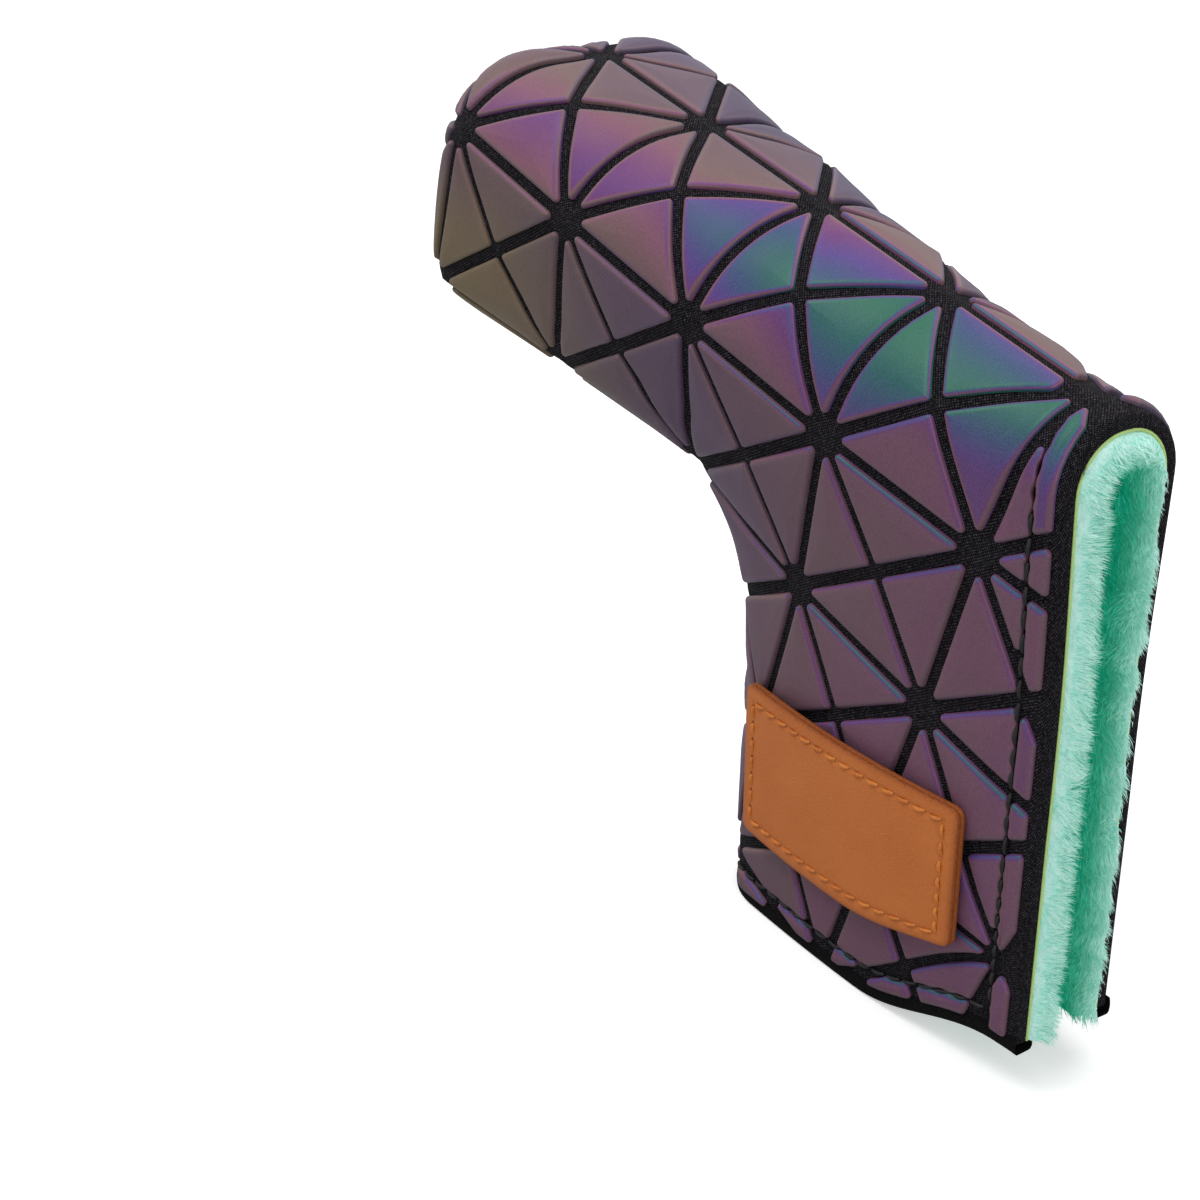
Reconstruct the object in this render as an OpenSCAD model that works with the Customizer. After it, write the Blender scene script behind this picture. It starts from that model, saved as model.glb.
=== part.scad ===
// Blade putter head cover: a padded, fleece-lined boot with an L-shaped side,
// standing on its neck end. Millimetres, +Z up, +X heel (open lip), -X toe,
// -Y the side with the leather label. z = 0 is the plane of the neck end.

/* [Boot] */
// height of the sole above the neck end, at the shoulder
shoulder_z = 107; // [90:1:130]
// where the open lip stands
lip_x = 73.4; // [50:1:90]
// length of the pouch along the sole, from shoulder line to toe rounding
pouch_len = 121; // [95:1:150]
// toe-up slope of the pouch against the neck end
tilt = 13; // [0:0.5:18]
// half width of the boot at the top of the lip
half_lip = 11.5; // [9.5:0.5:18]
// half width of the boot at the toe
half_toe = 28.5; // [22:0.5:36]
// half width of the neck at its end
half_neck = 9.5; // [9:0.5:18]
// height of the pouch, sole to underside
pouch_h = 46.5; // [38:0.5:60]
// width of the neck, lip to inner fold
neck_w = 78; // [60:1:95]
// how far the side of the neck swells between lip and inner fold
plump = 1.5; // [0:0.25:5]

/* [Layers] */
// outer skin thickness
skin_t = 1.2; // [0.8:0.1:2]
// foam interlining thickness
foam_t = 1.8; // [1:0.2:3]
// fleece pile thickness
pile_t = 3.5; // [2.5:0.25:5]
// how far the raised tiles stand above the skin
tile_h = 1; // [0.6:0.1:1.6]

/* [Pattern] */
// side of one square of the pattern
cell = 30; // [22:1:40]
// width of the woven channel between two tiles
band = 2.8; // [1.6:0.2:5]
// offset of the pattern from the middle of the sole
row_shift = 0.8; // [-10:0.2:10]
// how far the rows lean towards the toe as they go down the side
lean = 0.1; // [0:0.005:0.25]

/* [Label] */
// length of the leather label
label_l = 50; // [30:1:56]
// width of the leather label
label_w = 27; // [14:1:34]

/* [Hidden] */

corner_r = 17;          // rounding between sole and side
under_r = 12;           // rounding between side and underside or inner fold
fillet_k = 18;          // softness of the crotch
seam_half = 0.5;        // half the gap under the underside seam
spine_half = 1.8;       // half the gap at the inner fold, for the spine
cut_gap = 0.4;          // each side of the cut between pouch and flaps
cut_z = shoulder_z * 0.47;
hem_h = 1.6;            // hem strip along the neck end
bind_w = 1.6;           // binding past the lip
lip_margin = 3;         // plain woven margin from tile edge to lip
toe_round = 10;
eps = 0.02;

lip_out = 11;            // from the shoulder line to the lip
x0 = lip_x - lip_out;
inner_x = lip_x - neck_w;
fold_x = inner_x + under_r;
side_v = pouch_h - under_r;
toe_p = -pouch_len;
lip_p0 = lip_out / cos(tilt);

n_p = 19;               // columns along the pouch
n_q = 13;               // rows on each side
n_z = 7;                // rows down a flap
n_x = 12;               // columns across a flap

function clamp(v, a, b) = min(max(v, a), b);
function lerp(a, b, t) = a + (b - a) * t;
function ease(t) = let (c = clamp(t, 0, 1)) c * c * (3 - 2 * c);
function unit(v) = v / max(norm(v), 1e-9);

// half width of the boot at p along the sole and v below it
spread = 40;             // how far past the shoulder the taper would run out
function taper(p) = pow(clamp((spread - p) / (spread + pouch_len + toe_round), 0, 1), 0.7);
function half_top(p) = half_toe - (half_toe - half_lip) * (1 - taper(p)) / (1 - taper(lip_p0));
function half_at(p, v) = let (w = half_top(p))
    w - (w - half_neck) * ease((v - 15) / 48) * clamp((p + pouch_len) / 60, 0, 1);
function round_at(p) = min(corner_r, half_top(p) - 0.5);
function extra(p) = half_top(p) - round_at(p) * (2 - PI / 2);

// side plane: x, z of the unwrapped side from p, v and back
function xz(p, v) = [x0 + p * cos(tilt) - v * sin(tilt),
    shoulder_z - p * sin(tilt) - v * cos(tilt)];
function pv(x, z) = [(x - x0) * cos(tilt) - (z - shoulder_z) * sin(tilt),
    -(x - x0) * sin(tilt) - (z - shoulder_z) * cos(tilt)];

// distance past the straight part of the side, with a soft crotch
function past(x, v) = let (dv = v - side_v, dx = fold_x - x,
    h = clamp(0.5 + 0.5 * (dx - dv) / fillet_k, 0, 1))
    [lerp(dx, dv, h) - fillet_k * h * (1 - h), h];
arc_len = under_r * PI / 2;
function depth(d) = d < arc_len ? under_r * sin(d / under_r * 180 / PI) : under_r;
function inset(d) = d < arc_len ? under_r * (1 - cos(d / under_r * 180 / PI))
    : under_r + d - arc_len;

// the padded side of the neck swells between the lip and the inner fold
function swell(x, z) = plump * sin(180 * clamp((x - inner_x) / neck_w, 0, 1))
    * (1 - ease((z - 0.5 * shoulder_z) / (0.45 * shoulder_z)));

// near side, from the unwrapped side plane; y is negative
function side_xz(x, z) = let (a = pv(x, z), m = past(x, a[1]), d = max(m[0], 0), h = m[1],
    gx = -h * sin(tilt) - (1 - h), gz = -h * cos(tilt), back = d - depth(d),
    bx = x - gx * back, bz = z - gz * back, sw = swell(bx, bz) * clamp(1 - inset(d) / under_r, 0, 1),
    fx = x - gx * d, fz = z - gz * d, b = pv(fx, fz))
    [bx, -(half_at(b[0], b[1]) - inset(d) + sw), bz];

// near side, from p along the sole and q round from the middle of the sole
function near_pq(p, q) = let (r = round_at(p), f = half_top(p) - r, l = r * PI / 2)
    q < f ? let (c = xz(p, 0)) [c[0], -q, c[1]]
    : q < f + l ? let (t = (q - f) / r * 180 / PI, c = xz(p, r * (1 - cos(t))))
        [c[0], -(f + r * sin(t)), c[1]]
    : let (c = xz(p, q - extra(p))) side_xz(c[0], c[1]);
function mir(v, s) = [v[0], s * v[1], v[2]];
function at_pq(p, q) = q < 0 ? mir(near_pq(p, -q), -1) : near_pq(p, q);
function nrm_pq(p, q) = unit(cross(at_pq(p, q + 0.6) - at_pq(p, q - 0.6),
    at_pq(p + 0.6, q) - at_pq(p - 0.6, q)));
function off_pq(p, q, t) = at_pq(p, q) + t * nrm_pq(p, q);
function nrm_xz(x, z) = unit(cross(side_xz(x, z - 0.5) - side_xz(x, z + 0.5),
    side_xz(x + 0.5, z) - side_xz(x - 0.5, z)));
function off_xz(x, z, t) = side_xz(x, z) + t * nrm_xz(x, z);

// the lip stands upright
function lip_p(q) = lip_p0 + max(abs(q) - extra(10), 0) * tan(tilt);
// how far round the skin goes at column p: to the seam, or to the cut
function over(p, q, gap) = let (c = xz(p, q - extra(p)), m = past(c[0], q - extra(p)),
    d = max(m[0], 0), f = side_xz(c[0], c[1])) -f[1] - gap;
function cut_q(p) = (shoulder_z - cut_z - cut_gap - p * sin(tilt)) / cos(tilt) + extra(p);
function find_q(p, gap, a, b, n) = n == 0 ? (a + b) / 2
    : let (m = (a + b) / 2) over(p, m, gap) > 0 ? find_q(p, gap, m, b, n - 1)
    : find_q(p, gap, a, m, n - 1);
function end_q(p, gap) = let (c = cut_q(p), top = pouch_h * 0.6 + extra(p))
    over(p, c, gap) > 0 ? c : find_q(p, gap, top, c, 14);
function find_x(z, gap, a, b, n) = n == 0 ? (a + b) / 2
    : let (m = (a + b) / 2) -side_xz(m, z)[1] > gap ? find_x(z, gap, a, m, n - 1)
    : find_x(z, gap, m, b, n - 1);
function end_x(z, gap) = find_x(z, gap, fold_x - 60, fold_x, 14);

// a closed solid between two open grids of points, a outside and b inside
module grid_solid(a, b) {
    r = len(a);
    c = len(a[0]);
    n = r * c;
    pts = concat([for (i = a) for (j = i) j], [for (i = b) for (j = i) j]);
    faces = concat(
        [for (i = [0:r - 2]) for (j = [0:c - 2]) let (k = i * c + j) each
            [[k, k + 1, k + c + 1], [k, k + c + 1, k + c]]],
        [for (i = [0:r - 2]) for (j = [0:c - 2]) let (k = n + i * c + j) each
            [[k, k + c + 1, k + 1], [k, k + c, k + c + 1]]],
        [for (j = [0:c - 2]) each [[j, n + j, n + j + 1], [j, n + j + 1, j + 1]]],
        [for (j = [0:c - 2]) let (k = (r - 1) * c + j) each
            [[k, n + k + 1, n + k], [k, k + 1, n + k + 1]]],
        [for (i = [0:r - 2]) let (k = i * c) each [[k, k + c, n + k + c], [k, n + k + c, n + k]]],
        [for (i = [0:r - 2]) let (k = i * c + c - 1) each
            [[k, n + k + c, k + c], [k, n + k, n + k + c]]]);
    polyhedron(pts, faces, convexity = 8);
}

// one column of the pouch: q positions from the near edge to the far edge
function col_q(s, gap) = let (pn = lerp(toe_p, lip_p0, s), e = end_q(pn, gap),
    pl = lerp(toe_p, lip_p(e), s), e2 = end_q(pl, gap))
    [for (k = [-n_q:n_q]) -k / n_q * e2];
function pouch_grid(t) = [for (i = [0:n_p]) let (s = i / n_p)
    [for (q = col_q(s, seam_half)) off_pq(lerp(toe_p, lip_p(q), s), q, t)]];

module pouch_layer(t_out, t_in) grid_solid(pouch_grid(t_out), pouch_grid(t_in));

// toe: rings from the end of the pouch to the middle of the toe
toe_qs = col_q(0, seam_half);
toe_c = xz(toe_p, pouch_h / 2);
function toe_ring(k, t) = let (a = min(k, 4) * 22.5, m = max(k - 4, 0) / 3,
    s = (1 - (toe_round / half_toe) * (1 - cos(a))) * (1 - m * 0.94),
    d = (toe_round + t) * sin(a) + m * 1.5)
    [for (q = toe_qs) let (b = off_pq(toe_p, q, t), f = [b[0] - toe_c[0], b[1], b[2] - toe_c[1]])
        [toe_c[0], 0, toe_c[1]] + f * s + d * [-cos(tilt), 0, sin(tilt)]];
module toe_layer(t_out, t_in) {
    a = [for (k = [0:7]) toe_ring(k, t_out)];
    b = [for (k = [0:7]) toe_ring(k, t_in)];
    c = len(toe_qs);
    n = 8 * c;
    tip = [toe_c[0], 0, toe_c[1]] + [-cos(tilt), 0, sin(tilt)] * (toe_round + t_out + 1.6);
    tip_in = tip + [cos(tilt), 0, -sin(tilt)] * (t_out - t_in);
    pts = concat([for (i = a) each i], [for (i = b) each i], [tip, tip_in]);
    faces = concat(
        [for (i = [0:6]) for (j = [0:c - 1]) let (k = i * c, m = (j + 1) % c) each
            [[k + j, k + c + m, k + m], [k + j, k + c + j, k + c + m]]],
        [for (i = [0:6]) for (j = [0:c - 1]) let (k = n + i * c, m = (j + 1) % c) each
            [[k + j, k + m, k + c + m], [k + j, k + c + m, k + c + j]]],
        [for (j = [0:c - 1]) let (m = (j + 1) % c) each [[j, m, n + m], [j, n + m, n + j]]],
        [for (j = [0:c - 1]) [7 * c + j, 2 * n, 7 * c + (j + 1) % c]],
        [for (j = [0:c - 1]) [n + 7 * c + j, n + 7 * c + (j + 1) % c, 2 * n + 1]]);
    polyhedron(pts, faces, convexity = 8);
}

// flaps: the neck side below the cut, from the lip round to the spine
flap_top = cut_z - cut_gap;
function flap_zs(z_lo) = [for (i = [0:n_z]) lerp(flap_top, z_lo, i / n_z)];
function flap_grid(t, z_lo, gap) = [for (z = flap_zs(z_lo)) let (e = end_x(z, gap))
    [for (j = [0:n_x]) off_xz(lerp(lip_x, e, j / n_x), z, t)]];
function flip(g) = [for (r = g) [for (v = r) mir(v, -1)]];
function rev(g) = [for (r = g) [for (k = [len(r) - 1:-1:0]) r[k]]];
module flap_layer(t_out, t_in, s, short = 0) {
    a = flap_grid(t_out, hem_h, spine_half + 0.2 + short);
    b = flap_grid(t_in, hem_h, spine_half + 0.2 + short);
    if (s < 0) grid_solid(rev(a), rev(b));
    else grid_solid(flip(a), flip(b));
}

// strips along the lip
function arch_qs() = col_q(1, seam_half);
module arch_strip(w0, w1, t_out, t_in) {
    a = [for (w = [w0, w1]) [for (q = arch_qs()) off_pq(lip_p(q) + w, q, t_out)]];
    b = [for (w = [w0, w1]) [for (q = arch_qs()) off_pq(lip_p(q) + w, q, t_in)]];
    grid_solid(a, b);
}
module lip_strip(w0, w1, t_out, t_in, s) {
    zs = flap_zs(0);
    a = [for (z = zs) [for (w = [w1, w0]) off_xz(lip_x + w, z, t_out)]];
    b = [for (z = zs) [for (w = [w1, w0]) off_xz(lip_x + w, z, t_in)]];
    if (s < 0) grid_solid(rev(a), rev(b));
    else grid_solid(flip(a), flip(b));
}

// hem along the neck end, flat underneath
module hem(s) {
    e = end_x(0.8, spine_half + 0.2);
    outer = [for (j = [0:14]) off_xz(lerp(lip_x, e, j / 14), 0.8, 0.2)];
    inner = [for (j = [14:-1:0]) off_xz(lerp(lip_x, e, j / 14), 0.8, -skin_t - foam_t)];
    pts = [for (v = concat(outer, inner)) [v[0], -s * v[1]]];
    linear_extrude(hem_h - eps) polygon(pts);
}

// tiles: triangles of the pattern in the flat, clipped, wrapped and raised
function clip1(poly, n, c) = [for (i = [0:len(poly) - 1])
    let (a = poly[i], b = poly[(i + 1) % len(poly)], da = a * n - c, db = b * n - c)
    each concat(da <= 0 ? [a] : [], da * db < 0 ? [a + (b - a) * (da / (da - db))] : [])];
function clip_all(poly, planes, i = 0) = i == len(planes) || len(poly) < 3 ? poly
    : clip_all(clip1(poly, planes[i][0], planes[i][1]), planes, i + 1);
function area(poly) = len(poly) < 3 ? 0 : 0.5 * abs([for (i = [0:len(poly) - 1])
    let (a = poly[i], b = poly[(i + 1) % len(poly)]) a[0] * b[1] - a[1] * b[0]]
    * [for (i = poly) 1]);
// inset of a triangle by w on each side
function inset_tri(t, w) = let (c = (t[0] + t[1] + t[2]) / 3,
    r = 2 * area(t) / (norm(t[1] - t[0]) + norm(t[2] - t[1]) + norm(t[0] - t[2])),
    la = norm(t[2] - t[1]), lb = norm(t[0] - t[2]), lc = norm(t[1] - t[0]),
    ic = (t[0] * la + t[1] * lb + t[2] * lc) / (la + lb + lc))
    [for (v = t) ic + (v - ic) * (1 - w / r)];
function cell_tris(i, j) = let (a = [i, j] * cell, b = [i + 1, j] * cell, c = [i + 1, j + 1] * cell,
    d = [i, j + 1] * cell, m = (a + c) / 2)
    [for (t = [[a, b, m], [b, c, m], [c, d, m], [d, a, m]])
        [for (v = t) let (q = v[1] + row_shift) [v[0] - lean * (abs(q) - cell), q]]];
function mid_of(p) = [for (k = [0:1]) ([for (v = p) v[k]] * [for (v = p) 1]) / len(p)];
// outline with its long sides broken up
function fine(poly) = [for (i = [0:len(poly) - 1]) let (a = poly[i], b = poly[(i + 1) % len(poly)],
    k = max(1, round(norm(b - a) / 7))) for (m = [0:k - 1]) lerp(a, b, m / k)];
function sgn_area(p) = [for (i = [0:len(p) - 1]) let (a = p[i], b = p[(i + 1) % len(p)])
    a[0] * b[1] - a[1] * b[0]] * [for (v = p) 1];

module tile(poly, zmin = -1, zmax = 999) {
    f = fine(poly);
    c = mid_of(poly);
    n = len(f);
    sh = 0.6 / max(sqrt(area(poly)) * 0.45, 1);
    lift = function (v, t) let (w = off_pq(v[0], v[1], t)) [w[0], w[1], clamp(w[2], zmin, zmax)];
    pts = concat([for (v = f) lift(lerp(v, c, 0.55), -0.08)], [for (v = f) lift(v, -0.08)],
        [for (v = f) lift(lerp(v, c, sh), tile_h)],
        [for (v = f) lift(lerp(v, c, 0.55), tile_h)], [lift(c, tile_h), lift(c, -0.08)]);
    raw = concat(
        [for (r = [0:2]) for (i = [0:n - 1]) let (m = (i + 1) % n, k = r * n) each
            [[k + i, k + m, k + n + m], [k + i, k + n + m, k + n + i]]],
        [for (i = [0:n - 1]) [3 * n + i, 3 * n + (i + 1) % n, 4 * n]],
        [for (i = [0:n - 1]) [(i + 1) % n, i, 4 * n + 1]]);
    up = sgn_area(poly) > 0;
    polyhedron(pts, up ? raw : [for (t = raw) [t[2], t[1], t[0]]], convexity = 4);
}

// clip lines in the flat, as [normal, offset] pairs that keep normal * v <= offset
lip_line = let (k = tan(tilt)) [[1, -k], lip_p0 - k * extra(10) - lip_margin];
lip_line_far = let (k = tan(tilt)) [[1, k], lip_p0 - k * extra(10) - lip_margin];
toe_line = [[-1, 0], -toe_p - 0.5];
function root_planes(s) = let (c1 = cut_q(-60), c2 = cut_q(5), k = (c1 - c2) / 65)
    [s > 0 ? lip_line : lip_line_far, toe_line, [[k, s], c2 + k * 5 - 1.2]];
function root_tiles(i, j, s) = [for (t = cell_tris(i, j))
    let (p = clip_all(inset_tri(t, band / 2), root_planes(s)))
    if (area(p) > 12) p];
function in_skin(p, s) = [for (v = p) if (abs(v[1]) > end_q(v[0], 3.2) + 0.01) 1] == [];
function pull_in(p) = [for (v = p) let (e = end_q(v[0], 3.2))
    [v[0], clamp(v[1], -e, e)]];

module root_group(j0, j1, s) {
    for (i = [-5:1]) for (j = [j0:j1]) for (p = root_tiles(i, j, s)) {
        w = pull_in(p);
        if (area(w) > 14) tile(w, cut_z + cut_gap);
    }
}
flap_c1 = cut_q(-60) + 2 * cut_gap;
flap_c2 = cut_q(5) + 2 * cut_gap;
function flap_planes(s) = let (k = (flap_c1 - flap_c2) / 65,
    e1 = shoulder_z / cos(tilt) + extra(10) - 10 * tan(tilt),
    e2 = shoulder_z / cos(tilt) + extra(-50) + 50 * tan(tilt), ke = (e2 - e1) / 60)
    [s > 0 ? lip_line : lip_line_far, [[-k, -s], -(flap_c2 + k * 5 + 1.2)],
        [[ke, s], e1 + ke * 10 - hem_h - 1.5]];
function spine_p(q) = let (v = q - extra(-50), z = (shoulder_z - v * cos(tilt) + 50 * sin(tilt)),
    e = end_x(clamp(z, 1, cut_z), spine_half + 2.5)) pv(e, z)[0];
function pull_flap(p) = [for (v = p) [max(v[0], spine_p(abs(v[1]))), v[1]]];
module flap_group(s) {
    for (i = [-4:1]) for (j = s > 0 ? [1:4] : [-6:-2])
        for (t = cell_tris(i, j)) {
            p = clip_all(inset_tri(t, band / 2), flap_planes(s));
            if (area(p) > 12) {
                w = pull_flap(p);
                if (area(w) > 14) tile(w, hem_h + 0.6, cut_z - cut_gap);
            }
        }
}

// toe tiles: raised wedges round the toe
module toe_tiles() {
    m = len(toe_qs) - 1;
    for (g = [0:2:m - 2]) for (r = [[0.4, 3.4], [4.4, 6]]) {
        ring = function (k, j, t) let (a = toe_ring(floor(k), t)[j], b = toe_ring(ceil(k), t)[j])
            lerp(a, b, k - floor(k));
        k0 = r[0];
        k1 = r[1];
        f = function (k, u, t) let (j = g + u * 2, a = ring(k, floor(j), t), b = ring(k, ceil(j), t))
            lerp(a, b, j - floor(j));
        a = [for (k = [k0, (k0 + k1) / 2, k1]) [for (u = [0.12, 0.5, 0.88]) f(k, u, tile_h)]];
        b = [for (k = [k0, (k0 + k1) / 2, k1]) [for (u = [0.12, 0.5, 0.88]) f(k, u, -0.25)]];
        grid_solid(rev(a), rev(b));
    }
}

module stitches(path, w, h, n_skip = 0) {
    for (i = [0:len(path) - 2]) {
        a = path[i][0];
        b = path[i + 1][0];
        n = path[i][1];
        d = unit(b - a);
        e = unit(cross(d, n)) * w / 2;
        p = lerp(a, b, 0.12);
        q = lerp(a, b, 0.82);
        polyhedron([p - e, q - e, q + e, p + e, p - e + n * h, q - e + n * h, q + e + n * h, p + e + n * h],
            [[3, 2, 1, 0], [5, 6, 7, 4], [1, 5, 4, 0], [2, 6, 5, 1], [3, 7, 6, 2], [0, 4, 7, 3]],
            convexity = 2);
    }
}
stitch_in = lip_margin + 4;
module topstitch(s) {
    top = flap_top - 2;
    zs = [for (z = [hem_h + 4:4:top]) z];
    up = [for (z = zs) [off_xz(lip_x - stitch_in, z, tile_h - 0.15), nrm_xz(lip_x - stitch_in, z)]];
    along = [for (x = [fold_x:4:lip_x - stitch_in - 2])
        [off_xz(x, hem_h + 4, tile_h - 0.15), nrm_xz(x, hem_h + 4)]];
    run = concat(along, up);
    stitches([for (v = run) [mir(v[0], -s), mir(v[1], -s)]], 0.7, 0.35);
}

label_z = 27.5;
label_x = inner_x + 5;
label_t = 1.8;
module label() {
    n = 10;
    f = function (i, k, t) let (x = lerp(label_x, label_x + label_l, i / n),
        z = lerp(label_z + label_w / 2, label_z - label_w / 2, k / 4))
        side_plane(x, z) + [0, -(tile_h + 0.15 + t), 0];
    a = [for (k = [0:4]) [for (i = [0:n]) f(i, k, label_t)]];
    b = [for (k = [0:4]) [for (i = [0:n]) f(i, k, 0)]];
    grid_solid(a, b);
}
// the label bridges the bend: it stays at the width of the side
function side_plane(x, z) = let (xx = max(x, fold_x + 1), v = side_xz(xx, z), g = xx - x)
    [x, v[1] + g * g * 0.012, z];
module label_thread() {
    m = 2.6;
    x1 = label_x + m;
    x2 = label_x + label_l - m;
    z1 = label_z - label_w / 2 + m;
    z2 = label_z + label_w / 2 - m;
    top = function (x, z) [side_plane(x, z) - [0, tile_h + 0.15 + label_t - 0.05, 0], [0, -1, 0]];
    nx = round((x2 - x1) / 3);
    nz = round((z2 - z1) / 3);
    run = concat([for (i = [0:nx - 1]) top(lerp(x1, x2, i / nx), z1)],
        [for (i = [0:nz - 1]) top(x2, lerp(z1, z2, i / nz))],
        [for (i = [0:nx - 1]) top(lerp(x2, x1, i / nx), z2)],
        [for (i = [0:nz]) top(x1, lerp(z2, z1, i / nz))]);
    stitches(run, 0.7, 0.3);
}

mag_x = lip_x - 14;
mag_z = 20;
module magnet(s, grow = 0) {
    c = off_xz(mag_x, mag_z, -skin_t - foam_t / 2);
    n = nrm_xz(mag_x, mag_z);
    translate([c[0], -s * c[1], c[2]]) rotate([0, 0, -s * atan2(n[0], -n[1])]) rotate([90, 0, 0])
        cylinder(r = 6 + grow, h = foam_t - 0.5 + 2 * grow, center = true, $fn = 32);
}

// underside seam cord, from the toe to the crotch
module underside_seam() {
    ps = [for (i = [0:10]) lerp(toe_p, pv(inner_x - 8, cut_z + 16)[0] - 8, i / 10)];
    a = [for (p = ps) let (c = xz(p, pouch_h)) [c[0], c[1]]];
    g = function (w, t) [for (v = a) [v[0], w, v[1] + t]];
    grid_solid([g(0.45, 0.1), g(-0.45, 0.1)], [g(0.45, -0.7), g(-0.45, -0.7)]);
}
module neck_spine() {
    // it follows the inner fold up into the crotch
    zs = [0, cut_z * 0.3, cut_z * 0.6, cut_z * 0.8, cut_z - 4, cut_z, cut_z + 3, cut_z + 6];
    g = function (w, t) [for (z = zs) let (v = side_xz(end_x(z, seam_half), z)) [v[0] + t, w, v[2]]];
    grid_solid([g(1.2, 0), g(-1.2, 0)], [g(1.2, 1.4), g(-1.2, 1.4)]);
}

module pouch_skin() color([0.05, 0.05, 0.06]) pouch_layer(0, -skin_t);
module toe_skin() color([0.05, 0.05, 0.06]) toe_layer(0, -skin_t);
module pouch_foam() color([0.2, 0.2, 0.22]) pouch_layer(-skin_t, -skin_t - foam_t);
module toe_foam() color([0.2, 0.2, 0.22]) toe_layer(-skin_t, -skin_t - foam_t);
module pouch_fleece() color([0.45, 0.85, 0.75])
    pouch_layer(-skin_t - foam_t, -skin_t - foam_t - pile_t);
module toe_fleece() color([0.45, 0.85, 0.75])
    toe_layer(-skin_t - foam_t, -skin_t - foam_t - pile_t);
module shoulder_binding() color([0.04, 0.04, 0.05])
    arch_strip(eps, bind_w, 0.2, -skin_t - foam_t + eps);
module shoulder_piping() color([0.75, 0.9, 0.5])
    arch_strip(eps, 1.1, -skin_t - foam_t, -skin_t - foam_t - 1.2);
module tiles_near() color([0.45, 0.3, 0.5]) root_group(0, 3, 1);
module tiles_far() color([0.45, 0.3, 0.5]) root_group(-5, -2, -1);
module tiles_sole() color([0.5, 0.4, 0.42]) root_group(-1, -1, 1);
module tiles_toe() color([0.5, 0.4, 0.42]) toe_tiles();

module near_flap_skin() color([0.05, 0.05, 0.06]) flap_layer(0, -skin_t, -1);
module near_flap_foam() color([0.2, 0.2, 0.22]) difference() {
    flap_layer(-skin_t, -skin_t - foam_t, -1, 0.8);
    magnet(-1, 0.1);
}
module near_flap_fleece() color([0.45, 0.85, 0.75])
    flap_layer(-skin_t - foam_t, -skin_t - foam_t - pile_t, -1, 1.6);
module near_lip_binding() color([0.04, 0.04, 0.05])
    lip_strip(eps, bind_w, 0.2, -skin_t - foam_t + eps, -1);
module near_lip_piping() color([0.75, 0.9, 0.5])
    lip_strip(eps, 1.1, -skin_t - foam_t, -skin_t - foam_t - 1.2, -1);
module near_hem() color([0.04, 0.04, 0.05]) hem(-1);
module tiles_near_flap() color([0.4, 0.3, 0.42]) flap_group(1);
module near_topstitch() color([0.03, 0.03, 0.03]) topstitch(-1);
module near_magnet() color([0.7, 0.7, 0.72]) magnet(-1);

module far_flap_skin() color([0.05, 0.05, 0.06]) flap_layer(0, -skin_t, 1);
module far_flap_foam() color([0.2, 0.2, 0.22]) difference() {
    flap_layer(-skin_t, -skin_t - foam_t, 1, 0.8);
    magnet(1, 0.1);
}
module far_flap_fleece() color([0.45, 0.85, 0.75])
    flap_layer(-skin_t - foam_t, -skin_t - foam_t - pile_t, 1, 1.6);
module far_lip_binding() color([0.04, 0.04, 0.05])
    lip_strip(eps, bind_w, 0.2, -skin_t - foam_t + eps, 1);
module far_lip_piping() color([0.75, 0.9, 0.5])
    lip_strip(eps, 1.1, -skin_t - foam_t, -skin_t - foam_t - 1.2, 1);
module far_hem() color([0.04, 0.04, 0.05]) hem(1);
module tiles_far_flap() color([0.4, 0.3, 0.42]) flap_group(-1);
module far_topstitch() color([0.03, 0.03, 0.03]) topstitch(1);
module far_magnet() color([0.7, 0.7, 0.72]) magnet(1);
module label_piece() color([0.7, 0.38, 0.15]) label();
module label_sewing() color([0.85, 0.5, 0.2]) label_thread();

pouch_skin();
toe_skin();
pouch_foam();
toe_foam();
pouch_fleece();
toe_fleece();
underside_seam();
neck_spine();
shoulder_binding();
shoulder_piping();
tiles_near();
tiles_far();
tiles_sole();
tiles_toe();
near_flap_skin();
near_flap_foam();
near_flap_fleece();
near_lip_binding();
near_lip_piping();
near_hem();
tiles_near_flap();
near_topstitch();
near_magnet();
label_piece();  // label
label_sewing();  // label_thread
far_flap_skin();
far_flap_foam();
far_flap_fleece();
far_lip_binding();
far_lip_piping();
far_hem();
tiles_far_flap();
far_topstitch();
far_magnet();
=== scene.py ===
"""Putter head cover: a padded, fleece-lined boot for a blade putter, faced with stiff tiles.

The shape functions work in millimetres and the meshes in metres, in the part's own frame:
+Z up from the neck end, +X towards the open lip, -X towards the toe, -Y the label side.
A point of the boot's shell is named by p, along the sole from the shoulder line (the toe
end is negative), and q, round from the middle of the sole (the label side is positive).
"""
import math

import bpy
import numpy as np
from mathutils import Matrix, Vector
from mathutils.bvhtree import BVHTree


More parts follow.
